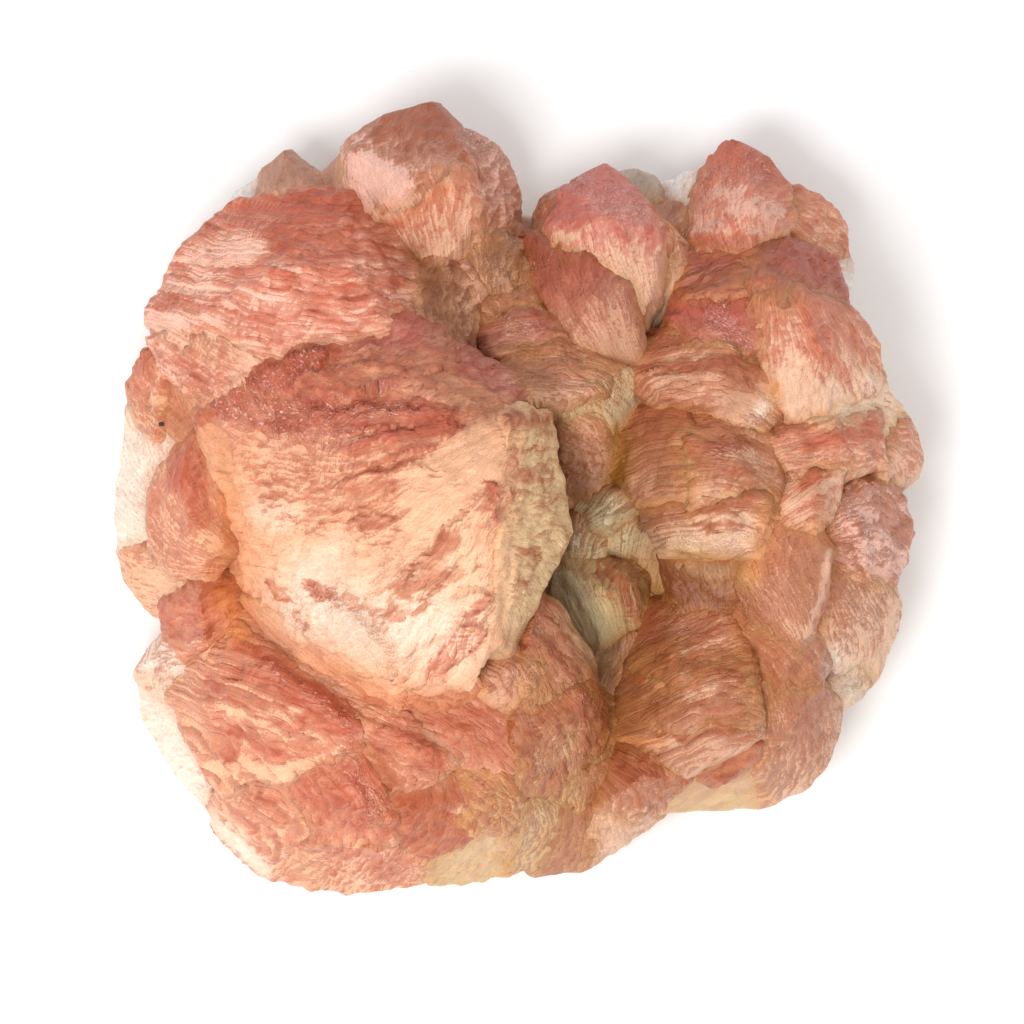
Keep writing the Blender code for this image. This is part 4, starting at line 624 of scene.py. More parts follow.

# Glossy areas, smoother and flecked with painted glints: x, y, x, y along the middle, half width, strength.
GLOSSES = [
    (-35, 10.4, -22, 11.2, 1.4, 1.0), (-36, 11.4, -24, 17.6, 1.1, 0.9), (-20, 10.8, -12, 11.6, 1.0, 0.8),
    (-29, 8.2, -17, 7.8, 1.0, 0.8), (-22, -12, -14, -19, 2.6, 1.0), (-27, -14, -24.6, -16, 1.2, 0.9),
    (-16, -8, -12, -9.4, 1.4, 0.7), (-18, -4.8, -11, -8, 0.9, 0.6), (-0.6, 21.4, 3, 20.8, 1.0, 1.0),
    (24.4, 22.6, 27.6, 19, 1.6, 1.0), (40.4, -2.2, 46, -7.6, 2.2, 0.9), (38.6, -20.4, 42, -23.6, 1.4, 1.0),
    (19, -5.2, 28.4, -5.2, 1.0, 0.9), (29, 9.4, 31, 12.4, 0.9, 0.9), (8, 38.6, 14.6, 35.4, 1.8, 0.8),
    (24.6, 38.4, 30.4, 41.6, 2.4, 0.7), (-30, -20.2, -20.4, -26.8, 0.9, 0.8),
    (-22.6, -22.2, -19.6, -23.6, 0.8, 0.8), (-21.6, -30.6, -18.4, -28.4, 0.8, 1.0),
    (-20, -33, -17, -38.4, 1.3, 0.9), (-6.2, 45, -2.4, 42, 1.1, 0.9), (-19, 42, -14, 38, 1.4, 0.5),
    (2.4, -31.6, 3.4, -33, 0.8, 0.8), (7.4, -22.4, 9.4, -25, 0.9, 0.7), (25, 6.4, 29, 5.4, 1.1, 0.7),
    (4.4, 29, -3, 26.6, 0.6, 0.5), (10, 14.4, 13.6, 13, 1.2, 0.6), (-38.4, -16.8, -39.6, -17.8, 0.8, 0.8),
    (27.4, -11, 28.6, -15.6, 0.6, 0.7), (19, -14, 21, -18, 1.2, 0.5), (1.2, -15.6, 2.8, -16.2, 0.6, 0.8),
    (0, -20.6, 1.6, -22, 0.8, 0.7), (33, 2, 34, 2.6, 0.6, 0.9),
]

# Areas tinted by painted light that comes through the crystals, by painted shade in clefts, under ledges and
# towards the right, and by stains: x, y, x, y along the middle, half width, colour, strength.
GLAZES = [
    (-35.2, 7, -34.6, -11, 2.6, "glow", 0.8), (-31.6, -4.6, -28.6, -12, 2.4, "glow", 0.55),
    (-30, -13.4, -14.8, -22.4, 1.4, "glow", 0.55), (-27, -19.4, -6, -23.6, 1.6, "glow", 0.45),
    (-35.5, -11, -33.4, -16, 1.8, "amber", 1.0), (-37.5, 8, -39.4, 12.4, 1.6, "honey", 0.5),
    (-42.6, 11.6, -40.8, 7.4, 1.4, "honey", 0.5), (-31, -15.6, -28, -19, 1.6, "rust", 0.5),
    (-12.6, 30, -8.6, 22, 2.2, "umber", 0.75), (-8, 21, -1, 18, 2.2, "umber", 0.45),
    (-38, 9, -4, 14.6, 4.2, "rose_glaze", 0.35), (13, 7.6, 12.6, 2.6, 1.5, "olive", 1.0),
    # The wheat stroke under the right ledge is painted light: the yellow glow in the crevice.
    (20, -7, 28, -9.4, 1.6, "wheat", 0.9), (14, 10, 18, 9.5, 1.6, "umber", 0.5),
    (16, -11, 19, -13, 1.4, "olive", 0.6), (14, -22, 18, -17, 2.6, "umber", 0.75),
    (11.6, -26, 14, -30, 2.2, "honey_dark", 0.8), (14, -27, 18, -24, 2.2, "umber", 0.6),
    (12.6, -29.4, 18, -29.6, 0.5, "amber", 0.6), (9, -21, 11, -25, 1.4, "umber", 0.6),
    (26.6, -16, 29.6, -26, 1.0, "honey", 0.5), (31, 0, 29, -9, 1.1, "amber", 0.55),
    (36.6, -3, 38, -5, 0.9, "amber", 0.6), (9, -19, 11, -21, 1.2, "olive", 0.5),
    (38.3, -6, 37.4, -11.5, 0.4, "sand", 0.7), (37.4, -11.5, 35.2, -16.6, 0.4, "sand", 0.7),
    (38, 30, 40, 34, 1.4, "sand", 0.3), (21.8, 29.8, 27, 28.8, 1.5, "terracotta", 0.9),
    (33, 32.4, 30.6, 31.4, 0.8, "umber", 0.5), (31.6, 11, 31.8, 13.8, 0.7, "honey", 0.7),
    (-16.6, -31, -14.6, -35.4, 1.1, "rust", 0.6), (-10, -39, -8, -34, 0.9, "honey", 0.4),
    (-1, 31, 3, 29, 2.4, "umber", 0.5), (-22, -1, -6, 1, 5.0, "peach", 0.4),
    (-17, -11, -6, -8, 5.0, "peach", 1.0), (-12, 16.5, -2, 10.6, 2.0, "brick", 0.5),
    (0, 18.4, 3, 14.4, 2.2, "umber", 0.45), (11, 18, 13, 10, 1.8, "umber", 0.35),
    (34.6, 6, 37, -1, 2.4, "brick", 0.4), (17, -27, 34, -29, 4.0, "brick", 0.4),
    (36, -23, 36.6, -30, 2.6, "brick", 0.35), (8, 27.6, 4, 30, 1.2, "brick", 0.4),
    (-11, -25, -2, -30.6, 2.6, "rust", 0.5), (0.2, -18, 1.4, -29, 2.4, "brick", 0.55),
    (17.6, 6, 17, -1, 2.0, "umber", 0.6), (15, -2.6, 16.6, -6, 1.7, "umber", 0.45),
    (39.6, -7.6, 37.6, -15.4, 0.7, "rust", 0.7), (-9, 16.4, -3.6, 12, 1.6, "rust", 0.5),
    (-17, 36.6, -15.6, 33, 1.5, "umber", 0.4), (-35.6, 6, -35, -8, 1.2, "honey", 0.35),
    (0, 18.4, 3, 15, 2.4, "umber", 0.3), (39.8, 11.8, 44, 13.4, 1.5, "frost", 0.5),
    # The sage stroke on the pocket's green crystal is painted light that comes through it.
    (7, -10, 9.4, -15, 1.8, "sage", 0.7), (5, -29, 8, -32, 1.8, "sand", 0.4),
    (21.6, 27.4, 27, 27.2, 1.6, "umber", 0.5), (12, -34, 24, -35, 2.4, "brick", 0.3),
    (-10, -34, -3, -38, 2.4, "brick", 0.35), (39, -19.6, 42.4, -24, 1.6, "frost", 0.7),
    (29, 9.6, 30.6, 11.6, 0.7, "frost", 0.5), (-26, -13, -9, -15.6, 4.0, "frost", 0.5),
    (-8, -5, -3, -15, 2.4, "cream", 0.5), (-22, -6.4, -25, -8.6, 2.0, "frost", 0.3),
    (-30, -1.8, -28, -1.9, 1.7, "frost", 0.35), (-8, 12, -2.6, 10.8, 1.3, "umber", 0.45),
    (21.6, 31.6, 28, 31.2, 0.9, "umber", 0.4), (41, 10.6, 44, 11.8, 1.2, "milk", 0.5),
    # The sage stroke on the pocket's green crystal is painted light that comes through it.
    (6, -10.6, 9.6, -18, 1.9, "sage", 0.75), (17.4, -8, 17.2, -11.4, 0.8, "umber", 0.6),
    (-37.5, -39, -31, -45.6, 1.1, "milk", 0.8), (20, -7, 27, -7.4, 0.8, "ochre", 0.6),
]

# How the streaks run, seen from above: x and y of the point that they leave, or x of an arch's crown, 0 and
# its curvature per millimetre.  The streaks of other crystals leave their foot.
STREAKS = {
    "great_fan": (4, 11, 0), "great_fan_flank": (-30, -14, 0), "great_fan_brow": (-30, 6, 0),
    "great_fan_brow_right": (-26, 4, 0), "dark_wedge": (-4, 14, 0), "upper_left_fan": (-21, 0, 0.019),
    "upper_left_feather": (-20, 8, 0), "tooth": (17.5, 16, 0), "tooth_right": (17, 16, 0),
    "middle_tooth": (16, 8, 0), "top_right_block": (29.5, 20, 0), "top_right_shell": (24, 39, 0),
    "right_shoulder": (28, 0, -0.025), "right_knob": (30, 18, 0), "right_big_face": (30.5, 31, 0),
    "right_gloss_wedge": (33, 15, 0), "right_upper_wedge": (21, 0, -0.03),
    "right_middle_left": (17, 0, -0.035), "right_middle": (23, 0, -0.03), "right_ledge": (4, -2, 0),
    "right_band": (20, 2, 0), "right_band_upper": (28, 2, 0), "right_wedge": (24, -8, 0),
    "right_end_knob": (38, 10, 0), "right_gloss_fan": (34, -6, 0), "right_flat_plate": (37, -22, 0),
    "right_lower_fan": (34, -3, 0), "right_side_plate": (22, -6, 0), "lower_right_fan": (28, -17, 0),
    "crevice_right_plate": (25, -22, 0), "lower_block": (-10, -31, 0), "lower_block_middle": (-10, -31, 0),
    "lower_block_ledge": (-10, -33, 0), "lower_chip": (14, -34, 0), "lower_middle_fan": (8, -27, 0),
    "lower_base_face": (-4, -46, 0), "lower_middle_base": (2, -30, 0), "pocket_upper": (5, -4, 0),
    "pocket_brown": (6, -12, 0), "pocket_small": (6, -12, 0), "pocket_green_left": (11, -14, 0),
    "pocket_yellow": (15, -18, 0), "pocket_green": (14, -26, 0), "pocket_mauve": (13, -20, 0),
    "pocket_plate": (16, -12, 0), "brow_of_crevice": (4, 0, -0.03), "pale_crevice_crystal": (-2, 22, 0),
    "crevice_step": (-2, 18, 0), "gloss_step": (-14, 18, 0), "middle_low_step": (12, 14, 0),
    "left_block": (-31, -10, 0), "left_plate": (-33, -9, 0), "left_low_plate": (-33, -8, 0),
    "left_lower_plate": (-33, -13, 0), "lower_left_fan": (-58, -6, 0), "crevice_lip": (-52, -6, 0),
    "crevice_lip_right": (-32, -12, 0), "tongue": (-27, -22, 0), "lower_left_plate": (-33, -18, 0),
    "lower_left_corner": (-42, -28, 0), "bottom_right_plate": (-16, -26, 0), "small_under_fan": (-9, -12, 0),
    "flank_upper": (-5, -6, 0), "flank_lower": (-7, -14, 0), "flank_small": (4, -20, 0),
    "fan_skirt": (-38, -6, 0), "left_white_rim": (-30, -20, 0),
}

# Crystals whose points are closer together than the rest: share of the spacing.
FINER = {"great_fan": 0.7, "small_peak": 0.6, "small_under_fan": 0.8}

# How patchy a crystal's coating is, where it isn't the usual 0.5.
PATCHY = {
    "great_fan": 0.85, "great_fan_brow_right": 0.8, "upper_left_fan": 0.85, "upper_left_feather": 0.85,
    "lower_left_fan": 0.55, "crevice_lip": 0.55, "dark_wedge": 1.0, "great_fan_flank": 0.7,
    "lower_left_corner": 0.8, "bottom_plate": 0.8, "flank_lower": 0.8, "top_block": 0.6,
    "right_flat_plate": 0.25, "right_side_plate": 0.35, "middle_tooth": 0.4, "tooth_right": 0.4,
    "small_peak": 0.2, "lower_block": 0.45,
}

# Crystals whose faces are smoother than the rest: share of the relief.
CALM = {
    "small_peak": 0.15, "small_peak_side": 0.2, "tooth_right": 0.5, "grey_back_crystal": 0.3,
    "right_flat_plate": 0.3, "right_side_plate": 0.4, "right_lower_fan": 0.6, "pocket_mauve": 0.25,
    "pocket_green": 0.5, "pocket_green_left": 0.4, "pocket_yellow": 0.4, "great_fan_flank": 0.7,
    "lower_base_face": 0.4, "lower_middle_base": 0.5, "white_upper_left": 0.5, "left_plate": 0.6,
    "right_wedge": 0.6, "left_white_face": 0.6, "white_right_knob": 0.6, "white_left_of_block": 0.7,
    "middle_tooth": 0.6, "top_block_front": 0.7, "pale_crevice_crystal": 0.6, "left_low_plate": 0.4,
    "left_lower_plate": 0.45, "left_white_rim": 0.4, "right_ledge": 0.6, "flank_rim": 0.6,
    "glassy_blade": 0.5, "tooth": 0.5, "top_block": 0.35, "right_end_knob": 0.6, "fan_skirt": 0.5,
    "top_right_block": 0.6, "right_big_face": 0.7, "right_middle": 0.6, "lower_block": 0.45,
    "lower_block_middle": 0.45, "lower_block_ledge": 0.5, "lower_right_fan": 0.5, "right_middle_left": 0.7,
    "flank_upper": 0.7, "flank_lower": 0.6, "flank_small": 0.6, "flank_step": 0.6, "flank_foot": 0.5,
}

# Colours in sRGB, and what wears each.
PALETTE = {
    "salmon": ("#C66D4E", "Thick coating on the fans"),
    "coral": ("#CC7768", "Pinker coating on the back teeth"),
    "terracotta": ("#B0634E", "Coating between rose and brick"),
    "rose": ("#BC6656", "Coating on the brows"),
    # Rose glaze is the coating on the great fan's top, lightened as a painted sheen.
    "rose_glaze": ("#C4705F", "Clear rosy coating that glitters"),
    # Brick and tan, worn on the right and in the middle, are partly painted shade: darker for the light that
    # falls off away from the left.
    "brick": ("#AD6541", "Brownish coating on the right"),
    "rust": ("#B8623A", "Orange coating low down"),
    "umber": ("#8E5730", "Shaded clefts between crystals"),
    "mauve": ("#B88A74", "Greyish pink crystals in the crevice"),
    "fawn": ("#B6846B", "Bare, sharp little crystals"),
    "clay": ("#BE8763", "Thin coating on a pale flank"),
    "blush": ("#DBA791", "Pink mineral at the back right"),
    # Ash is painted shade: white crystals at the back, greyed where they lie in shade.
    "ash": ("#B3A08E", "Grey mineral at the back"),
    "shell": ("#EBB6A2", "Pink pearly mineral"),
    "tan": ("#CE9B7C", "Duller mineral in the middle"),
    "sand": ("#DFB394", "Pale mineral on the right"),
    "petal": ("#F3BCA4", "Pinkish mineral of the upper left fan"),
    "peach": ("#EFB892", "Pale mineral of the fans"),
    "cream": ("#EFCBA8", "Palest mineral near the rim"),
    "chalk": ("#EBE4E0", "Bluish white mineral at the back"),
    "butter": ("#DDBE90", "Pale yellow side of the great fan"),
    "straw": ("#CDB283", "Yellowish mineral on the flanks"),
    "wheat": ("#CFAA76", "Warmer yellowish mineral"),
    # Ochre is painted light: the yellow glow in the crevice under a ledge.
    "ochre": ("#BF8A52", "Yellow stain under a ledge"),
    "sage": ("#DCCBA2", "Greenish mineral in the crevice"),
    "moss": ("#C8AC72", "Yellow-green mineral in the crevice"),
    "olive": ("#8A5E04", "Deep yellow glow in the crevice"),
    "amber": ("#F09C58", "Light that comes through thin edges"),
    "glow": ("#EDA97E", "Light that comes through the fans"),
    "lichen": ("#C3AA78", "Green-grey mineral in the crevice"),
    # Honey and honey dark are painted light: the orange glow where crystals meet and along thin edges.
    "honey": ("#CE8A48", "Stain where crystals meet"),
    "honey_dark": ("#9A6020", "Deeper stain where crystals meet"),
    # Frost is whitish mineral at the tips, and on glossy spots a painted highlight.
    "frost": ("#FBEBDA", "Whitish glossy tips"),
    "milk": ("#F0E0CC", "White mineral at the outer edge"),
    # Painted glints: the pale flecks on glossy flakes.
    "glint": ("#FBE2DE", "Tiny glittering flecks"),
    # Painted shadow along the flames' upper edges.
    "groove": ("#E2C5B5", "Shaded lines between flames, laid over the colour"),
    "dirt": ("#4A2F1C", "Specks of dirt on the left"),
    "paper": ("#F7F7F7", "Uncoated white paper of the floor"),
}


def scrambled(cell, seed):
    """A whole number from 0 to 65535 for each cell of a lattice, always the same for the same seed."""
    key = np.full(len(cell), seed * 2654435761)
    for column, prime in zip(cell.T, (73856093, 19349663, 83492791)):
        key ^= column * prime
    key = (key ^ (key >> 13)) * 1274126177 & 0x7FFFFFFF
    key = (key ^ (key >> 15)) * 2246822519 & 0x7FFFFFFF
    return (key >> 8) & 0xFFFF


def lattice_noise(points, seed=0):
    """Random numbers on the corners of a unit lattice, blended across each cell by t^3 (6t^2 - 15t + 10)."""
    cell = np.floor(points).astype(np.int64)
    part = points - cell
    fade = part ** 3 * (part * (part * 6 - 15) + 10)
    total = np.zeros(len(points))
    for corner in product((0, 1), repeat=points.shape[1]):
        weight = np.where(corner, fade, 1 - fade).prod(1)
        total += (scrambled(cell + corner, seed) / 32767.5 - 1) * weight
    return total


def nearest_seeds(points, seed):
    """For each point the nearest of one random seed per lattice cell, and two random numbers of its cell.

    Only the cells nearest a point are searched, and a seed keeps to the middle 0.7 of its cell."""
    base = np.floor(points - 0.5).astype(np.int64)
    best = np.full(len(points), np.inf)
    home = np.zeros_like(points)
    cell = np.zeros_like(base)
    for corner in product((0, 1), repeat=points.shape[1]):
        near = base + corner
        spot = np.stack([scrambled(near, seed + k) for k in range(points.shape[1])], 1)
        spot = near + 0.15 + 0.7 * spot / 65535
        gap = ((points - spot) ** 2).sum(1)
        closer = gap < best
        best[closer] = gap[closer]
        home[closer] = spot[closer]
        cell[closer] = near[closer]
    return home, scrambled(cell, seed + 5) / 65535, scrambled(cell, seed + 6) / 65535


def smooth(low, high, value):
    """0 below low, 1 above high, and 3t^2 - 2t^3 between."""
    t = np.clip((value - low) / (high - low), 0, 1)
    return t * t * (3 - 2 * t)


def crystal_points(foot, corners):
    """Corners of the faces, the wider ring under them and three points round the foot, as in the solid."""
    top = np.array(corners, float)
    middle = top.mean(0)
    out = top[:, :2] - middle[:2]
    out /= np.linalg.norm(out, axis=1, keepdims=True)
    reach = np.linalg.norm(top[:, :2], axis=1, keepdims=True)
    home = -top[:, :2] / reach * np.minimum(reach / EDGE_RADIUS, 1) ** 4
    ring = np.column_stack([top[:, :2] + (out + home) * SWELL, top[:, 2] - SWELL_DROP])
    axis = (middle - foot) / np.linalg.norm(middle - foot)
    side = np.cross(axis, (0.3, 0.1, 1.0))
    side /= np.linalg.norm(side)
    turn = np.radians([0, 120, 240])[:, None]
    bottom = foot + FOOT_SPREAD * (side * np.cos(turn) + np.cross(axis, side) * np.sin(turn))
    return np.vstack([top, ring, bottom])


def hull_planes(points):
    """Every plane through three of the points that has all the others on one side, as normal and offset."""
    i, j, k = np.array(list(combinations(range(len(points)), 3))).T
    normal = np.cross(points[j] - points[i], points[k] - points[i])
    length = np.linalg.norm(normal, axis=1)
    normal, i = normal[length > 1e-6] / length[length > 1e-6, None], i[length > 1e-6]
    offset = np.einsum("ij,ij->i", normal, points[i])
    side = points @ normal.T - offset
    flip = side.min(0) > -1e-6
    keep = flip | (side.max(0) < 1e-6)
    normal[flip] *= -1
    offset[flip] *= -1
    planes = np.column_stack([normal, offset])[keep]
    return planes[np.unique(planes.round(3), axis=0, return_index=True)[1]]


def above_planes(points, planes):
    """Signed distance of each point to the farthest plane: negative inside the hull."""
    return (points @ planes[:, :3].T - planes[:, 3]).max(1)


def hull_radius(centre, directions, planes):
    """Distance from the centre to the hull along each direction, and the blended normal there.

    The planes' inverse distances n.d / (offset - n.c) are joined by a power mean, which rounds the edges."""
    gap = planes[:, 3] - planes[:, :3] @ centre
    inverse = np.maximum(directions @ planes[:, :3].T, 0) / gap
    peak = inverse.max(1, keepdims=True)
    share = (inverse / peak) ** SOFTNESS
    total = share.sum(1, keepdims=True)
    radius = 1 / (peak[:, 0] * total[:, 0] ** (1 / SOFTNESS))
    normal = share @ planes[:, :3]
    return radius, normal / np.linalg.norm(normal, axis=1, keepdims=True)


def edge_nearness(centre, directions, planes):
    """1 on an edge between two of the hull's faces, 0 away from it.

    It compares the two largest inverse distances of the planes, which are equal on the edge."""
    inverse = np.maximum(directions @ planes[:, :3].T, 0) / (planes[:, 3] - planes[:, :3] @ centre)
    second, first = np.partition(inverse, -2, axis=1)[:, -2:].T
    return smooth(0.88, 1.0, second / first)


def frame_of(axis):
    """Three unit vectors as rows: two across the axis and the axis itself."""
    axis = axis / np.linalg.norm(axis)
    side = np.cross((0.2, 1.0, 0.1), axis)
    side /= np.linalg.norm(side)
    return np.array([side, np.cross(axis, side), axis])


def directions_at(polar, azimuth, basis):
    """Unit vectors at a polar angle from the basis's last row and an azimuth about it."""
    flat = np.stack([np.sin(polar) * np.cos(azimuth), np.sin(polar) * np.sin(azimuth), np.cos(polar)], -1)
    return flat @ basis


def square_to_disc(count):
    """A square grid bent into a disc: the larger coordinate is the radius, the ratio of the two the angle."""
    line = np.linspace(-1, 1, count + 2)[1:-1]
    a, b = (g.ravel() for g in np.meshgrid(line, line, indexing="ij"))
    wide = np.abs(a) >= np.abs(b)
    r = np.where(wide, a, b)
    safe = np.where(r == 0, 1, r)
    angle = np.where(wide, math.pi / 4 * b / safe, math.pi / 2 - math.pi / 4 * a / safe)
    return np.abs(r), np.where(r < 0, angle + math.pi, angle)


def closed_grid_faces(count):
    """Quads between the points of a square grid, and triangles from its border to one last point."""
    index = np.arange(count * count).reshape(count, count)
    quads = np.stack([index[:-1, :-1], index[1:, :-1], index[1:, 1:], index[:-1, 1:]], -1).reshape(-1, 4)
    border = np.concatenate([index[0, :-1], index[:-1, -1], index[-1, :0:-1], index[:0:-1, 0]])
    last = np.full(len(border), count * count)
    fans = np.stack([border, np.roll(border, -1), last], -1)
    return quads, fans


class Crystal:
    """One crystal's hull, its middle and its direction of growth."""

    def __init__(self, name, foot, corners):
        self.name = name
        self.foot = np.array(foot, float)
        self.points = crystal_points(self.foot, corners)
        self.planes = hull_planes(self.points)
        self.top = np.array(corners, float)
        self.tip = self.top.mean(0)
        # The middle lies about three fifths of the way up.  Where that is less than 0.8 mm deep in the hull,
        # it is too near a face, and the mean of all the points takes its place.
        self.centre = self.tip * 0.62 + self.foot * 0.38
        if (self.planes[:, :3] @ self.centre - self.planes[:, 3]).max() > -0.8:
            self.centre = self.points.mean(0)
        # The grid's first pole lies between the tip and the sky, where most of the crystal is seen.
        up = self.tip - self.centre
        self.basis = frame_of(up / np.linalg.norm(up) + np.array((0, 0, 0.8)))
        self.low, self.high = self.points.min(0), self.points.max(0)

    def near(self, other, gap=2.0):
        """Whether the boxes round two crystals, with a gap between them, overlap."""
        return bool(np.all(self.low - gap < other.high) and np.all(other.low - gap < self.high))


def spread_of_rings(crystal, others, spacing):
    """Polar angle for each share of the disc's radius, so that rings are even where the crystal is open.

    The arc length of each step down the side, averaged round the crystal, counts in full where two fifths of
    it or more are open to the air, and for about an eighth where all of it is buried.  What lies 0.6 mm deep
    in a neighbour counts as open, and the lowest millimetre as buried."""
    polar = np.linspace(0, math.pi, 61)
    azimuth = np.linspace(0, 2 * math.pi, 24, endpoint=False)
    p, a = (g.ravel() for g in np.meshgrid(polar, azimuth, indexing="ij"))
    radius, _ = hull_radius(crystal.centre, directions_at(p, a, crystal.basis), crystal.planes)
    spots = crystal.centre + directions_at(p, a, crystal.basis) * radius[:, None]
    open_air = np.ones(len(spots), bool)
    for other in others:
        open_air &= above_planes(spots, other.planes) > -0.6
    open_air &= spots[:, 2] > 1
    spots = spots.reshape(len(polar), len(azimuth), 3)
    share = open_air.reshape(len(polar), len(azimuth)).mean(1)
    steps = np.linalg.norm(np.diff(spots, axis=0), axis=2).mean(1)
    weight = 0.12 + 0.88 * np.minimum((share[1:] + share[:-1]) * 1.2, 1)
    length = np.concatenate([[0], np.cumsum(steps * weight)])
    count = int(round(2 * length[-1] / spacing)) | 1
    return polar, length / length[-1], count


def streak_coordinates(crystal, points):
    """Distance along the streaks and across them, both in millimetres, for each point of a crystal.

    Seen from above, the streaks leave one point like the ribs of a fan, or are arches y = a (x - x0)^2.
    Down the crystal's sides they carry on at a slant."""
    x0, y0, arch = STREAKS.get(crystal.name, (crystal.foot[0], crystal.foot[1], 0))
    depth = crystal.top[:, 2].max() - points[:, 2]
    if arch:
        along, across = points[:, 0], points[:, 1] - arch * (points[:, 0] - x0) ** 2
    else:
        middle = crystal.tip[:2] - (x0, y0)
        reach = np.hypot(*middle)
        towards = complex(middle[0], -middle[1]) / reach
        spot = ((points[:, 0] - x0) + 1j * (points[:, 1] - y0)) * towards
        along, across = np.abs(spot), np.angle(spot) * max(reach, 8)
    across = across + 0.6 * lattice_noise(points / 7, 7) + 0.3 * lattice_noise(points / 2.5, 8)
    return np.stack([along + 0.8 * depth, across + 0.3 * depth], 1)


def scales(place, width, stretch, seed):
    """Overlapping scales: long cells along the streaks, each a flat that rises to its tip and back edge.

    A point belongs to the nearest seed once it is shifted by finer noise, most of all along the streak, which
    gives the flame-like ends.  Returned are the height, the way along the cell and the way towards its back
    edge, both about 0 to 1, and the cell's own two random numbers."""
    spot = place / (width * stretch, width)
    ragged = 0.5 * lattice_noise(spot * (2.4, 3.8), seed + 11) + 0.22 * lattice_noise(spot * (5, 9), seed + 12)
    aside = 0.2 * lattice_noise(spot * (2.4, 2.0), seed + 13)
    home, level, kind = nearest_seeds(spot + np.stack([ragged, aside], 1), seed)
    forward, sideways = (0.5 + spot - home).T
    height = 0.6 * (forward - 0.5) * (0.7 + 0.6 * kind) + 0.7 * (sideways - 0.5) + 0.8 * (level - 0.5)
    return height, forward, sideways, level, kind


def segment_distance(x, y, ends):
    """Distance of each point from a line between two points, its share of the way along and its side step."""
    x0, y0, x1, y1 = ends
    run = np.array((x1 - x0, y1 - y0))
    length = max(np.hypot(*run), 1e-6)
    along = ((x - x0) * run[0] + (y - y0) * run[1]) / length
    across = ((x - x0) * run[1] - (y - y0) * run[0]) / length
    past = np.maximum(np.maximum(-along, along - length), 0)
    return np.hypot(past, across), along / length, across


def ledge_lift(x, y):
    """Height of the long plates, the way along them and nearness to their rims.

    Each rises from its foot and drops in a step at its tip and sides."""
    lift, edge, rim = np.zeros(len(x)), np.zeros(len(x)), np.zeros(len(x))
    for x0, y0, x1, y1, width, rise in LEDGES:
        _, along, across = segment_distance(x, y, (x0, y0, x1, y1))
        length = math.hypot(x1 - x0, y1 - y0)
        taper = np.interp(along, (0, 0.32, 0.85, 1.0), (0.1, 1.0, 0.95, 0.35)) * width / 2
        inside = (along > 0) & (along < 1) & (np.abs(across) < taper)
        here = rise * 0.7 * smooth(0, 0.6, along)
        lift = np.where(inside & (here > lift), here, lift)
        edge = np.where(inside, np.maximum(edge, smooth(0.2, 1.0, along)), edge)
        inset = np.minimum(taper - np.abs(across), (1 - along) * length)
        border = (1 - smooth(0.2, 0.7, inset)) * smooth(0.15, 0.5, along)
        rim = np.where(inside, np.maximum(rim, border), rim)
    return lift, edge, rim


def ragged_shift(points, seed):
    """A wandering shift in x and y, up to 0.6 mm, that gives plates and strokes their ragged outlines."""
    return np.stack([0.4 * lattice_noise(points / 1.7, k) + 0.2 * lattice_noise(points / 0.8, k + 1)
                     for k in (seed, seed + 2)], 1)


def stroke_weight(x, y, ends, half, soft):
    """1 along a stroke from one place to another, falling to 0 between 0.7 and soft times its half width."""
    return 1 - smooth(0.7, soft, segment_distance(x, y, ends)[0] / half)


def distance_to_neighbours(points, others):
    """How far each point stands out of the nearest of the other crystals, 0 inside them."""
    crease = np.full(len(points), FAR_AWAY)
    for other in others:
        crease = np.minimum(crease, np.maximum(above_planes(points, other.planes), 0))
    return crease


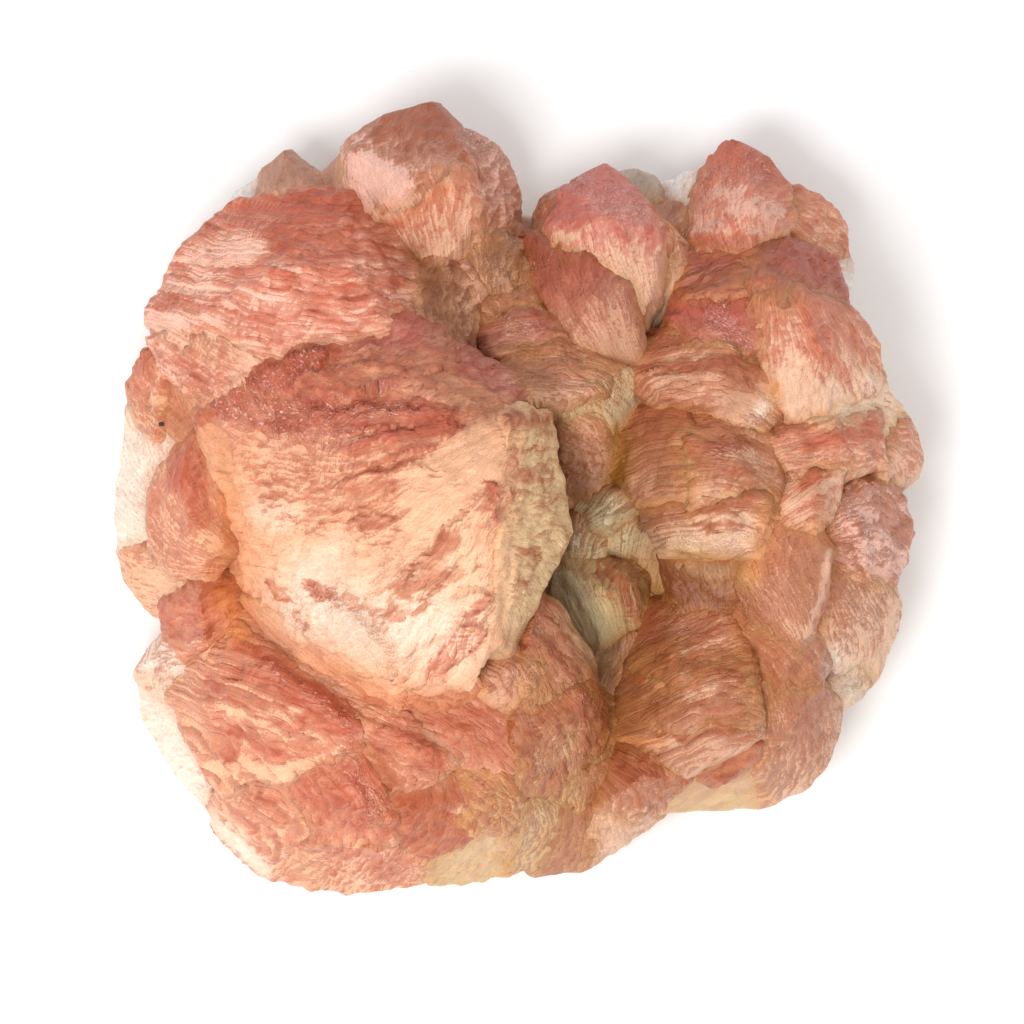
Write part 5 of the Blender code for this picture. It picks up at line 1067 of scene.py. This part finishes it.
def built_crystal(crystal, others, spacing, seed, settings):
    """Points, faces and finish of one crystal: its hull on a disc grid, pushed out along its blended normal.

    The push is the sum of two sizes of scales, ridges along the streaks, grain, the long plates and chipped
    edges, and it fades out towards the buried foot.  A fillet of 0.35 e^(-d / 0.8) fills the creases at a
    distance d from a neighbour."""
    polar, share, count = spread_of_rings(crystal, others, spacing)
    r, azimuth = square_to_disc(count)
    angle = np.append(np.interp(r, share, polar), math.pi)
    directions = directions_at(angle, np.append(azimuth, 0.0), crystal.basis)
    radius, normal = hull_radius(crystal.centre, directions, crystal.planes)
    points = crystal.centre + directions * radius[:, None]
    place = streak_coordinates(crystal, points)

    # The larger the crystal, up to 40 mm, the larger its scales.
    big = min(1.0, np.linalg.norm(crystal.high - crystal.low) / 40)
    calm = CALM.get(crystal.name, 1.0)
    wide_lift, _, wide_side, wide_level, wide_kind = scales(place, 1.4 + 1.4 * big, 2.7, seed)
    lift, forward, side, level, kind = scales(place, 0.7 + 0.35 * big, 3.0, seed + 100)
    ridges = lattice_noise(place / (2.0, 0.55), seed + 40)
    grain = lattice_noise(points / 0.9, seed + 41)
    lift = (0.08 + 0.14 * big) * wide_lift + (0.11 + 0.09 * big) * lift + 0.06 * ridges + 0.04 * grain
    lift = lift * calm * (0.35 + 0.65 * smooth(0.1, 0.6, normal[:, 2]))

    # Long plates stand on faces that look up, and only on the great fan's own crystals at their full height.
    shift = ragged_shift(points, seed + 42)
    plate, plate_edge, rim = ledge_lift(points[:, 0] + shift[:, 0], points[:, 1] + shift[:, 1])
    stepped = smooth(0.35, 0.8, normal[:, 2]) * (1.0 if crystal.name.startswith("great_fan") else 0.4)
    lift += plate * stepped
    rim *= stepped

    # Edges between faces are chipped.
    lift += edge_nearness(crystal.centre, directions, crystal.planes) * (0.2 + 0.8 * calm) * (
        0.36 * lattice_noise(points / 2.6, seed + 46) + 0.35 * lattice_noise(points / 1.3, seed + 47))
    reach = np.linalg.norm(points - crystal.foot, axis=1) / np.linalg.norm(crystal.tip - crystal.foot)
    crease = distance_to_neighbours(points, others)
    fillet = 0.35 * np.exp(-crease / 0.8) * smooth(0.5, 3.0, points[:, 2])
    points = points + normal * (lift * smooth(0.1, 0.45, reach) * settings.relief + fillet)[:, None]

    # The coating changes evenly from one end to the other, is patchy from scale to scale, gathers at the tips
    # of plates, most of all on the pale flank, and has strokes of its own.
    ground, tint, bearing, heavy, light = FINISHES[crystal.name]
    heading = np.array((math.cos(math.radians(bearing)), math.sin(math.radians(bearing))))
    ends = crystal.top[:, :2] @ heading
    towards = np.clip((points[:, :2] @ heading - ends.min()) / (ends.max() - ends.min()), 0, 1)
    cloud = lattice_noise(points / 5, seed + 48) + 0.6 * lattice_noise(points / 2.4, seed + 49)
    coat = settings.coating + light + (heavy - light) * towards
    coat += PATCHY.get(crystal.name, 0.5) * (
        0.5 * cloud + 0.4 * (wide_side - 0.5) + 0.25 * (wide_level - 0.5)
        + 0.3 * (forward - 0.5) + 1.1 * (side - 0.5) + 0.6 * (level - 0.5))
    coat += (1.1 if crystal.name == "great_fan_flank" else 0.5) * plate_edge
    x = points[:, 0] + shift[:, 0] + 0.9 * (level - 0.5)
    y = points[:, 1] + shift[:, 1] + 0.9 * (kind - 0.5)
    for *stroke, half, change in COAT_STROKES.get(crystal.name, ()):
        coat += change * stroke_weight(x, y, stroke, half, 1.35)
    gloss = np.zeros(len(points))
    for *stroke, half, strength in GLOSSES:
        gloss = np.maximum(gloss, strength * stroke_weight(x, y, stroke, half, 1.3))

    # Painted shade, with a little random tone: scales darken towards their back edges, plates round their
    # rims and the crystal at its coated end.
    dark = 1 - 0.1 * smooth(0.7, 1.0, wide_side) - 0.12 * smooth(0.6, 0.95, side) + 0.08 * (wide_kind - 0.5)
    dark += 0.08 * ridges + 0.06 * (kind - 0.5) - 0.28 * rim - 0.12 * smooth(0.86, 1.0, towards)
    quads, fans = closed_grid_faces(count)
    streak = np.column_stack([place / (STREAK_LENGTH, 1.0), np.zeros(len(place))])
    return {"points": points, "quads": quads, "fans": fans, "coat": coat, "crease": crease, "dark": dark,
            "streak": streak, "gloss": gloss, "ground": ground, "tint": tint}


def linear(code):
    """A six-figure sRGB code as linear red, green and blue."""
    value = np.array([int(code[i:i + 2], 16) for i in (1, 3, 5)]) / 255
    return np.where(value <= 0.04045, value / 12.92, ((value + 0.055) / 1.055) ** 2.4)


def colour_named(name):
    """A colour of the palette as linear red, green and blue."""
    return np.array(getattr(bpy.context.scene.stilbite_colours, name))


def mesh_object(name, parts):
    """Joins built crystals in one object with their finish, painted light and shade included, as point
    attributes.
    """
    points, faces, start = [], [], 0
    for part in parts:
        points.append(part["points"])
        faces.append((part["quads"] + start, part["fans"] + start))
        start += len(part["points"])
    data = bpy.data.meshes.new(name)
    quads = np.vstack([q for q, _ in faces])
    fans = np.vstack([f for _, f in faces])
    loops = np.concatenate([quads.ravel(), fans.ravel()])
    sizes = np.concatenate([np.full(len(quads), 4), np.full(len(fans), 3)])
    data.vertices.add(start)
    data.loops.add(len(loops))
    data.polygons.add(len(sizes))
    data.vertices.foreach_set("co", (np.vstack(points) * MM).ravel())
    data.loops.foreach_set("vertex_index", loops)
    data.polygons.foreach_set("loop_start", np.concatenate([[0], np.cumsum(sizes)[:-1]]))
    data.polygons.foreach_set("use_smooth", np.ones(len(sizes), bool))
    data.update(calc_edges=True)
    data.set_sharp_from_angle(angle=math.radians(SHARP_ANGLE))
    for key in ("coat", "gloss"):
        layer = data.attributes.new(key, "FLOAT", "POINT")
        layer.data.foreach_set("value", np.concatenate([part[key] for part in parts]))
    for key in ("ground", "tint"):
        layer = data.attributes.new(key, "FLOAT_COLOR", "POINT")
        layer.data.foreach_set("color", np.vstack([part[key] for part in parts]).ravel())
    layer = data.attributes.new("streak", "FLOAT_VECTOR", "POINT")
    layer.data.foreach_set("vector", np.vstack([part["streak"] for part in parts]).ravel())
    obj = bpy.data.objects.new(name, data)
    bpy.context.scene.collection.objects.link(obj)
    return obj


def add_node(tree, kind, values=(), **settings):
    """Adds a node: its settings by name, and its inputs in order or by name, each a value or what feeds it.

    It returns the node's outputs."""
    node = tree.nodes.new(kind)
    for key, value in settings.items():
        setattr(node, key, value)
    for socket, value in values.items() if isinstance(values, dict) else enumerate(values):
        if isinstance(value, bpy.types.NodeSocket):
            tree.links.new(value, node.inputs[socket])
        else:
            node.inputs[socket].default_value = value
    return node.outputs


def coated_stilbite(settings):
    """Stilbite broken along its cleavage, with a thin iron coating.

    Wherever a crystal is coated, the coating stops in small ragged flames, each with one crisp edge and one
    that fades, and painted shade darkens each flame towards a painted shadow line at its upper edge.  Painted
    glints fleck it where cleavage flakes lie open.  Light sinks a little way in before it comes back."""
    name = "stilbite_cleavage_with_coating"
    if name in bpy.data.materials:
        return bpy.data.materials[name]
    material = bpy.data.materials.new(name)
    material.use_nodes = True
    tree = material.node_tree
    surface = tree.nodes["Principled BSDF"].inputs
    coat, gloss, ground, tint, streak = (
        add_node(tree, "ShaderNodeAttribute", attribute_name=key)[socket]
        for key, socket in (("coat", "Fac"), ("gloss", "Fac"), ("ground", "Color"), ("tint", "Color"),
                            ("streak", "Vector")))

    # One unit of the streak attribute is 1 mm across the streaks and STREAK_LENGTH mm along them.
    fine, spark, warp = (
        add_node(tree, "ShaderNodeTexNoise",
                 {"Vector": streak, "Scale": scale, "Detail": detail, "Roughness": rough})
        for scale, detail, rough in ((2.8, 3.0, 0.65), (4.6, 2.0, 0.5), (2.0, 3.0, 0.6)))
    fine, spark = fine["Fac"], spark["Fac"]
    warp = add_node(tree, "ShaderNodeVectorMath", (warp["Color"], (0.8, 0.35, 0.0), streak),
                    operation="MULTIPLY_ADD")[0]
    # Grains of 0.3 mm, twice their real size so that they show.
    place = add_node(tree, "ShaderNodeTexCoord")["Object"]
    grit = add_node(tree, "ShaderNodeTexNoise", {"Vector": place, "Scale": 3600.0, "Detail": 2.0})["Fac"]

    # Flames: cells about one flame width across, each a ramp from its lower to its upper edge.
    cells, borders = (
        add_node(tree, "ShaderNodeTexVoronoi", {"Vector": warp, "Scale": 1 / (settings.flame_width / MM)},
                 voronoi_dimensions="2D", feature=feature) for feature in ("F1", "DISTANCE_TO_EDGE"))
    inside = add_node(tree, "ShaderNodeVectorMath", (warp, cells["Position"]), operation="SUBTRACT")
    inside = add_node(tree, "ShaderNodeSeparateXYZ", (inside[0],))
    kind = add_node(tree, "ShaderNodeSeparateXYZ", (cells["Color"],))
    slant = add_node(tree, "ShaderNodeMath", (inside[1], 1.9, kind[0]), operation="MULTIPLY_ADD")[0]

    # A painted shadow line along the upper edge of about half the flames, fainter where the coating is thin.
    line = 1.0
    for values in ((borders["Distance"], 0.02, 0.1, 1.0, 0.0), (inside[1], 0.06, 0.2, 0.0, 1.0),
                   (kind[1], 0.4, 0.6, 0.0, 1.0), (coat, -0.9, 0.3, 0.25, 1.0)):
        weight = add_node(tree, "ShaderNodeMapRange", values)[0]
        line = add_node(tree, "ShaderNodeMath", (line, weight), operation="MULTIPLY")[0]

    # The coating ends crisply at a flame's upper edge and thins out below it, grain by grain.
    ragged = coat
    for values in ((slant, -0.5, 1.5, -0.65, 0.65), (grit, 0.3, 0.7, -0.3, 0.3)):
        more = add_node(tree, "ShaderNodeMapRange", values)[0]
        ragged = add_node(tree, "ShaderNodeMath", (ragged, more), operation="ADD")[0]
    share = 0.0
    for curve, *values in (("LINEAR", coat, -0.7, 1.4, 0.0, 0.4), ("LINEAR", ragged, -1.1, 1.2, 0.0, 0.2),
                           ("SMOOTHSTEP", ragged, -0.28, 0.22, 0.0, 0.4)):
        more = add_node(tree, "ShaderNodeMapRange", values, interpolation_type=curve)[0]
        share = add_node(tree, "ShaderNodeMath", (share, more), operation="ADD")[0]
    colour = add_node(tree, "ShaderNodeMix", {"Factor": share, 6: ground, 7: tint}, data_type="RGBA")[2]

    # Painted shade darkens each flame towards its upper edge, and streaks and grains mottle its tone.
    shade = 1.0
    for values in ((fine, 0.3, 0.7, 0.93, 1.06), (slant, -0.5, 1.5, 1.06, 0.92), (grit, 0.3, 0.7, 1.1, 0.9)):
        weight = add_node(tree, "ShaderNodeMapRange", values)[0]
        shade = add_node(tree, "ShaderNodeMath", (shade, weight), operation="MULTIPLY")[0]
    groove = add_node(tree, "ShaderNodeMix",
                      {"Factor": line, 6: (1, 1, 1, 1), 7: (*colour_named("groove"), 1)}, data_type="RGBA")[2]
    for weight in (shade, groove):
        colour = add_node(tree, "ShaderNodeVectorMath", (colour, weight), operation="MULTIPLY")[0]

    # Open flakes are smoother than the rest, and painted glints, pale specks mixed into the colour, fleck them.
    glint = add_node(tree, "ShaderNodeMapRange", (spark, 0.58, 0.7, 0.0, 0.55))[0]
    glint = add_node(tree, "ShaderNodeMath", (glint, gloss), operation="MULTIPLY")[0]
    colour = add_node(tree, "ShaderNodeMix", {"Factor": glint, 6: colour, 7: (*colour_named("glint"), 1)},
                      data_type="RGBA")[2]
    tree.links.new(colour, surface["Base Color"])
    roughness = add_node(tree, "ShaderNodeMapRange", (gloss, 0.0, 1.0, 0.48, 0.16))[0]
    tree.links.new(roughness, surface["Roughness"])
    surface["IOR"].default_value = 1.5
    surface["Subsurface Weight"].default_value = 0.25
    surface["Subsurface Radius"].default_value = (1.0, 0.45, 0.2)
    surface["Subsurface Scale"].default_value = 1.5 * MM

    # Flames stand up like scales, their upper edges are grooves, and open flakes are gritty.
    relief = add_node(tree, "ShaderNodeMath", (slant, 0.45, fine), operation="MULTIPLY_ADD")[0]
    relief = add_node(tree, "ShaderNodeMath", (line, -0.35, relief), operation="MULTIPLY_ADD")[0]
    flakes = add_node(tree, "ShaderNodeMath", (grit, gloss), operation="MULTIPLY")[0]
    relief = add_node(tree, "ShaderNodeMath", (flakes, 2.0, relief), operation="MULTIPLY_ADD")[0]
    bump = add_node(tree, "ShaderNodeBump", {"Height": relief, "Distance": 0.4 * MM, "Strength": 0.6})
    tree.links.new(bump["Normal"], surface["Normal"])
    return material


def with_finish(part):
    """Gives a built crystal its two colours at every point: stains, painted light and painted shade.

    A glaze, whether a stain, painted light through thin edges or painted shade, has the weight e^(-0.8 d^2) at
    d half widths from its middle, and the painted light in a crease half of e^(-d^2) at d times 0.9 mm from a
    neighbour."""
    x, y = part["points"][:, 0], part["points"][:, 1]
    ground = np.tile(colour_named(part["ground"]), (len(x), 1))
    tint = np.tile(colour_named(part["tint"]), (len(x), 1))
    for *stroke, half, colour, strength in GLAZES:
        away = segment_distance(x, y, stroke)[0]
        weight = (strength * np.exp(-(away / half) ** 2 * 0.8))[:, None]
        if weight.max() < 0.02:
            continue
        ground += (colour_named(colour) - ground) * weight
        soaked = 0.1 if colour in PALE_GLAZES else 0.75
        tint += (colour_named(colour) * (0.8, 0.75, 0.7) - tint) * weight * soaked
    # Painted light in the creases near a neighbour: glow on the left, honey orange on the right.
    near = np.exp(-(part["crease"] / 0.9) ** 2)[:, None] * 0.5
    glow = colour_named("glow" if x.mean() < GLOWING_SIDE else "honey")
    ground += (glow - ground) * near
    tint += (glow * 0.75 - tint) * near
    # A heavy coating is redder and deeper, and so is a place of painted shade: green and blue fall faster than
    # red.
    tint *= 1 - smooth(0.5, 1.4, part["coat"])[:, None] * (0.08, 0.24, 0.28)
    shade = part["dark"][:, None] ** np.array((0.8, 1.3, 1.5))
    part["ground"] = np.column_stack([ground * (0.5 + 0.5 * shade), np.ones(len(x))])
    part["tint"] = np.column_stack([tint * shade, np.ones(len(x))])
    return part


def base_lump():
    """The lump under the crystals: the hull of its levels as a disc grid, rough, with a flat underside."""
    planes = hull_planes(np.array([(x * spread, y * spread, z) for z, spread in BASE_LEVELS
                                   for x, y in BASE_OUTLINE], float))
    r, azimuth = square_to_disc(BASE_COUNT)
    centre = np.array((0, 0, 7.0))
    polar = np.append(r * math.pi, math.pi)
    directions = directions_at(polar, np.append(azimuth, 0.0), frame_of(np.array((0.0, 0.0, 1.0))))
    radius, normal = hull_radius(centre, directions, planes)
    points = centre + directions * radius[:, None]
    lumps = lattice_noise(points / 5, 5)
    rough = 0.6 * lumps + 0.35 * lattice_noise(points / 1.8, 6) + 0.15 * lattice_noise(points / 0.9, 9)
    points = points + normal * (rough * (1 - np.abs(normal[:, 2])))[:, None]
    points[:, 2] = np.maximum(points[:, 2], 0)
    n = len(points)
    # White and yellowish patches, and painted shade where the crystals cover it.
    patch = smooth(-0.5, 0.5, lattice_noise(points / 4, 8) + 0.5 * lattice_noise(points / 1.5, 10))[:, None]
    ground = colour_named("wheat") * patch + colour_named("milk") * (1 - patch)
    ground += (colour_named("umber") - ground) * smooth(8, 11, points[:, 2])[:, None]
    quads, fans = closed_grid_faces(BASE_COUNT)
    return {"points": points, "quads": quads, "fans": fans, "gloss": np.zeros(n),
            "coat": -0.9 + 0.7 * lumps, "ground": np.column_stack([ground, np.ones(n)]),
            "tint": np.tile(np.append(colour_named("clay"), 1.0), (n, 1)),
            "streak": np.column_stack([points[:, 0] / 2 + points[:, 1] / 2, points[:, 2], np.zeros(n)])}


@cache
def crystals():
    """Every crystal by name, with its hull worked out."""
    return {name: Crystal(name, foot, corners) for name, (foot, corners) in CRYSTALS.items()}


def surface_height(x, y):
    """The highest point of the crystals' hulls over a place, found on a line of points 0.05 mm apart."""
    column = np.column_stack([np.full(1000, x), np.full(1000, y), np.linspace(50, 0, 1000)])
    inside = np.any([above_planes(column, crystal.planes) < 0 for crystal in crystals().values()], axis=0)
    return column[inside.argmax(), 2]


def dirt_speck(x, y, size, seed):
    """A speck of dirt: a ball of a given radius, flattened by a third and roughened by noise."""
    count = 15
    r, azimuth = square_to_disc(count)
    directions = directions_at(np.append(r * math.pi, math.pi), np.append(azimuth, 0.0), np.eye(3))
    radius = size * (1 + 0.35 * lattice_noise(directions * 1.7 + seed, seed))
    points = directions * radius[:, None] * (1, 0.8, 0.65) + (x, y, surface_height(x, y) + size * 0.3)
    quads, fans = closed_grid_faces(count)
    n = len(points)
    colour = np.tile(np.append(colour_named("dirt"), 1.0), (n, 1))
    return {"points": points, "quads": quads, "fans": fans, "coat": np.zeros(n), "gloss": np.zeros(n),
            "ground": colour, "tint": colour * (0.8, 0.8, 0.8, 1), "streak": points}


def put_in_place(name, parts, settings):
    """Joins parts in one piece, gives it its material and makes it stand for the solid."""
    obj = mesh_object(name, parts)
    obj.data.materials.append(coated_stilbite(settings))
    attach(obj, "root")
    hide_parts(NODE)


def grow_family(family, settings):
    """Builds the crystals of one family as one piece."""
    order = [name for names in FAMILIES.values() for name in names]
    parts = []
    for name in FAMILIES[family]:
        crystal = crystals()[name]
        others = [c for c in crystals().values() if c is not crystal and crystal.near(c)]
        spacing = settings.spacing / MM * FINER.get(name, 1)
        seed = 150 + 50 * order.index(name)
        parts.append(with_finish(built_crystal(crystal, others, spacing, seed, settings)))
    put_in_place(family, parts, settings)


class StilbiteSettings(bpy.types.PropertyGroup):
    """Sizes that a user would change."""

    spacing: FloatProperty(
        name="Point spacing", description="Distance between neighbouring points of a crystal's surface",
        default=0.55 * MM, min=0.3 * MM, max=3 * MM, unit="LENGTH", subtype="DISTANCE", precision=5)
    relief: FloatProperty(
        name="Relief", description="Height of the scales, ridges and ledges, as a share of the real one",
        default=1.0, min=0.0, max=2.0, subtype="FACTOR")
    coating: FloatProperty(
        name="Coating", description="How much heavier the coating is than on the real specimen",
        default=0.0, min=-1.0, max=1.0)
    flame_width: FloatProperty(
        name="Flame width", description="Width of the small flames in which the coating ends",
        default=0.59 * MM, min=0.2 * MM, max=3 * MM, unit="LENGTH", subtype="DISTANCE", precision=5)
    camera_height: FloatProperty(
        name="Camera height", description="Height of the camera above the floor",
        default=1.6, min=0.3, max=5.0, unit="LENGTH", subtype="DISTANCE")


class StilbiteColours(bpy.types.PropertyGroup):
    """Colours of the mineral, its coating, its stains, and its painted light and shade."""

    __annotations__ = {
        key: FloatVectorProperty(name=key.replace("_", " ").capitalize(), description=words, subtype="COLOR",
                                 size=3, min=0, max=1, default=tuple(linear(code).tolist()))
        for key, (code, words) in PALETTE.items()}


class CrystalOperator:
    """What the crystal operators share: each grows the families that it names."""

    bl_options = {"REGISTER", "UNDO"}
    families = ()

    def execute(self, context):
        for family in self.families:
            grow_family(family, context.scene.stilbite_settings)
        return {"FINISHED"}


class STILBITE_OT_great_fan(CrystalOperator, bpy.types.Operator):
    """Build the great fan, its brows and its pale flank"""

    bl_idname = "stilbite.great_fan"
    bl_label = "Great Fan"
    families = ("great_fan", "great_fan_sides")


class STILBITE_OT_upper_left_fan(CrystalOperator, bpy.types.Operator):
    """Build the round fan at the upper left"""

    bl_idname = "stilbite.upper_left_fan"
    bl_label = "Upper Left Fan"
    families = ("upper_left_fan",)


class STILBITE_OT_back_crystals(CrystalOperator, bpy.types.Operator):
    """Build the blocks, teeth and peaks along the back"""

    bl_idname = "stilbite.back_crystals"
    bl_label = "Back Crystals"
    families = ("back_left_blocks", "back_middle_teeth", "back_right_blocks")


class STILBITE_OT_crevice_crystals(CrystalOperator, bpy.types.Operator):
    """Build the steps above the crevice and the small crystals in it"""

    bl_idname = "stilbite.crevice_crystals"
    bl_label = "Crevice Crystals"
    families = ("middle_steps", "crevice_crystals")


class STILBITE_OT_right_crystals(CrystalOperator, bpy.types.Operator):
    """Build the shoulder, ledges, fans and plates on the right"""

    bl_idname = "stilbite.right_crystals"
    bl_label = "Right Crystals"
    families = ("right_shoulder", "right_middle", "right_edge", "right_lower")


class STILBITE_OT_lower_crystals(CrystalOperator, bpy.types.Operator):
    """Build the striped block and the flank under the great fan"""

    bl_idname = "stilbite.lower_crystals"
    bl_label = "Lower Crystals"
    families = ("lower_block", "flank")


class STILBITE_OT_lower_left_crystals(CrystalOperator, bpy.types.Operator):
    """Build the broad fan at the lower left and the plates along its rim"""

    bl_idname = "stilbite.lower_left_crystals"
    bl_label = "Lower Left Crystals"
    families = ("lower_left_fan", "lower_rim")


class STILBITE_OT_left_crystals(CrystalOperator, bpy.types.Operator):
    """Build the plates and white faces along the left edge"""

    bl_idname = "stilbite.left_crystals"
    bl_label = "Left Crystals"
    families = ("left_edge",)


class STILBITE_OT_base(bpy.types.Operator):
    """Build the lump of mineral that carries the crystals, and the specks of dirt on them"""

    bl_idname = "stilbite.base"
    bl_label = "Base Lump and Dirt"
    bl_options = {"REGISTER", "UNDO"}

    def execute(self, context):
        settings = context.scene.stilbite_settings
        put_in_place("root_lump", [base_lump()], settings)
        specks = [dirt_speck(*speck, seed) for seed, speck in enumerate(DIRT)]
        put_in_place("dirt_specks", specks, settings)
        return {"FINISHED"}


class STILBITE_OT_stage(bpy.types.Operator):
    """Build the white paper floor, the soft studio lights and the camera straight above"""

    bl_idname = "stilbite.stage"
    bl_label = "Stage"
    bl_options = {"REGISTER", "UNDO"}

    def execute(self, context):
        scene = context.scene
        data = bpy.data.meshes.new("floor")
        corners = [(x * FLOOR_REACH, y * FLOOR_REACH, 0) for x, y in ((-1, -1), (1, -1), (1, 1), (-1, 1))]
        data.from_pydata(corners, [], [(0, 1, 2, 3)])
        floor = bpy.data.objects.new("floor", data)
        scene.collection.objects.link(floor)
        # Uncoated paper, as it comes off the roll, is bright and has hardly any shine.
        paper = bpy.data.materials.new("matt_white_paper")
        paper.use_nodes = True
        surface = paper.node_tree.nodes["Principled BSDF"].inputs
        surface["Base Color"].default_value = (*colour_named("paper"), 1)
        surface["Roughness"].default_value = 0.9
        data.materials.append(paper)
        camera = bpy.data.cameras.new("camera")
        eye = bpy.data.objects.new("camera", camera)
        scene.collection.objects.link(eye)
        height = scene.stilbite_settings.camera_height
        camera.sensor_width = SENSOR
        camera.lens = SENSOR * (height - VIEW_LEVEL) / VIEW_WIDTH
        eye.location = (*VIEW_MIDDLE, height)
        camera.clip_end = 10
        scene.camera = eye
        world = bpy.data.worlds.new("studio")
        scene.world = world
        world.use_nodes = True
        sky = world.node_tree.nodes["Background"].inputs
        sky["Color"].default_value = (1, 1, 1, 1)
        sky["Strength"].default_value = SKY_STRENGTH
        for name, place, size, power in LIGHTS:
            light = bpy.data.lights.new(name, "AREA")
            light.size = size
            light.energy = power
            lamp = bpy.data.objects.new(name, light)
            lamp.location = place
            scene.collection.objects.link(lamp)
            lamp.rotation_euler = (LIT_PLACE - lamp.location).to_track_quat("-Z", "Y").to_euler()
        scene.view_settings.view_transform = "Standard"
        return {"FINISHED"}


OPERATORS = (
    STILBITE_OT_stage, STILBITE_OT_base, STILBITE_OT_great_fan, STILBITE_OT_upper_left_fan,
    STILBITE_OT_back_crystals, STILBITE_OT_crevice_crystals, STILBITE_OT_right_crystals,
    STILBITE_OT_lower_crystals, STILBITE_OT_lower_left_crystals, STILBITE_OT_left_crystals,
)


class STILBITE_PT_panel(bpy.types.Panel):
    """Lists the specimen's sizes, its operators and its colours"""

    bl_idname = "STILBITE_PT_panel"
    bl_label = "Stilbite Specimen"
    bl_space_type = "VIEW_3D"
    bl_region_type = "UI"
    bl_category = "Stilbite"

    def draw(self, context):
        for key in StilbiteSettings.__annotations__:
            self.layout.prop(context.scene.stilbite_settings, key)
        for operator in OPERATORS:
            self.layout.operator(operator.bl_idname)
        for key in PALETTE:
            self.layout.prop(context.scene.stilbite_colours, key)


CLASSES = (StilbiteSettings, StilbiteColours, *OPERATORS, STILBITE_PT_panel)


def register():
    for cls in CLASSES:
        bpy.utils.register_class(cls)
    bpy.types.Scene.stilbite_settings = PointerProperty(type=StilbiteSettings)
    bpy.types.Scene.stilbite_colours = PointerProperty(type=StilbiteColours)


def unregister():
    del bpy.types.Scene.stilbite_colours
    del bpy.types.Scene.stilbite_settings
    for cls in reversed(CLASSES):
        bpy.utils.unregister_class(cls)


def main():
    register()
    bpy.ops.stilbite.stage()
    bpy.ops.stilbite.base()
    bpy.ops.stilbite.great_fan()
    bpy.ops.stilbite.upper_left_fan()
    bpy.ops.stilbite.back_crystals()
    bpy.ops.stilbite.crevice_crystals()
    bpy.ops.stilbite.right_crystals()
    bpy.ops.stilbite.lower_crystals()
    bpy.ops.stilbite.lower_left_crystals()
    bpy.ops.stilbite.left_crystals()


if __name__ == "__main__":
    main()
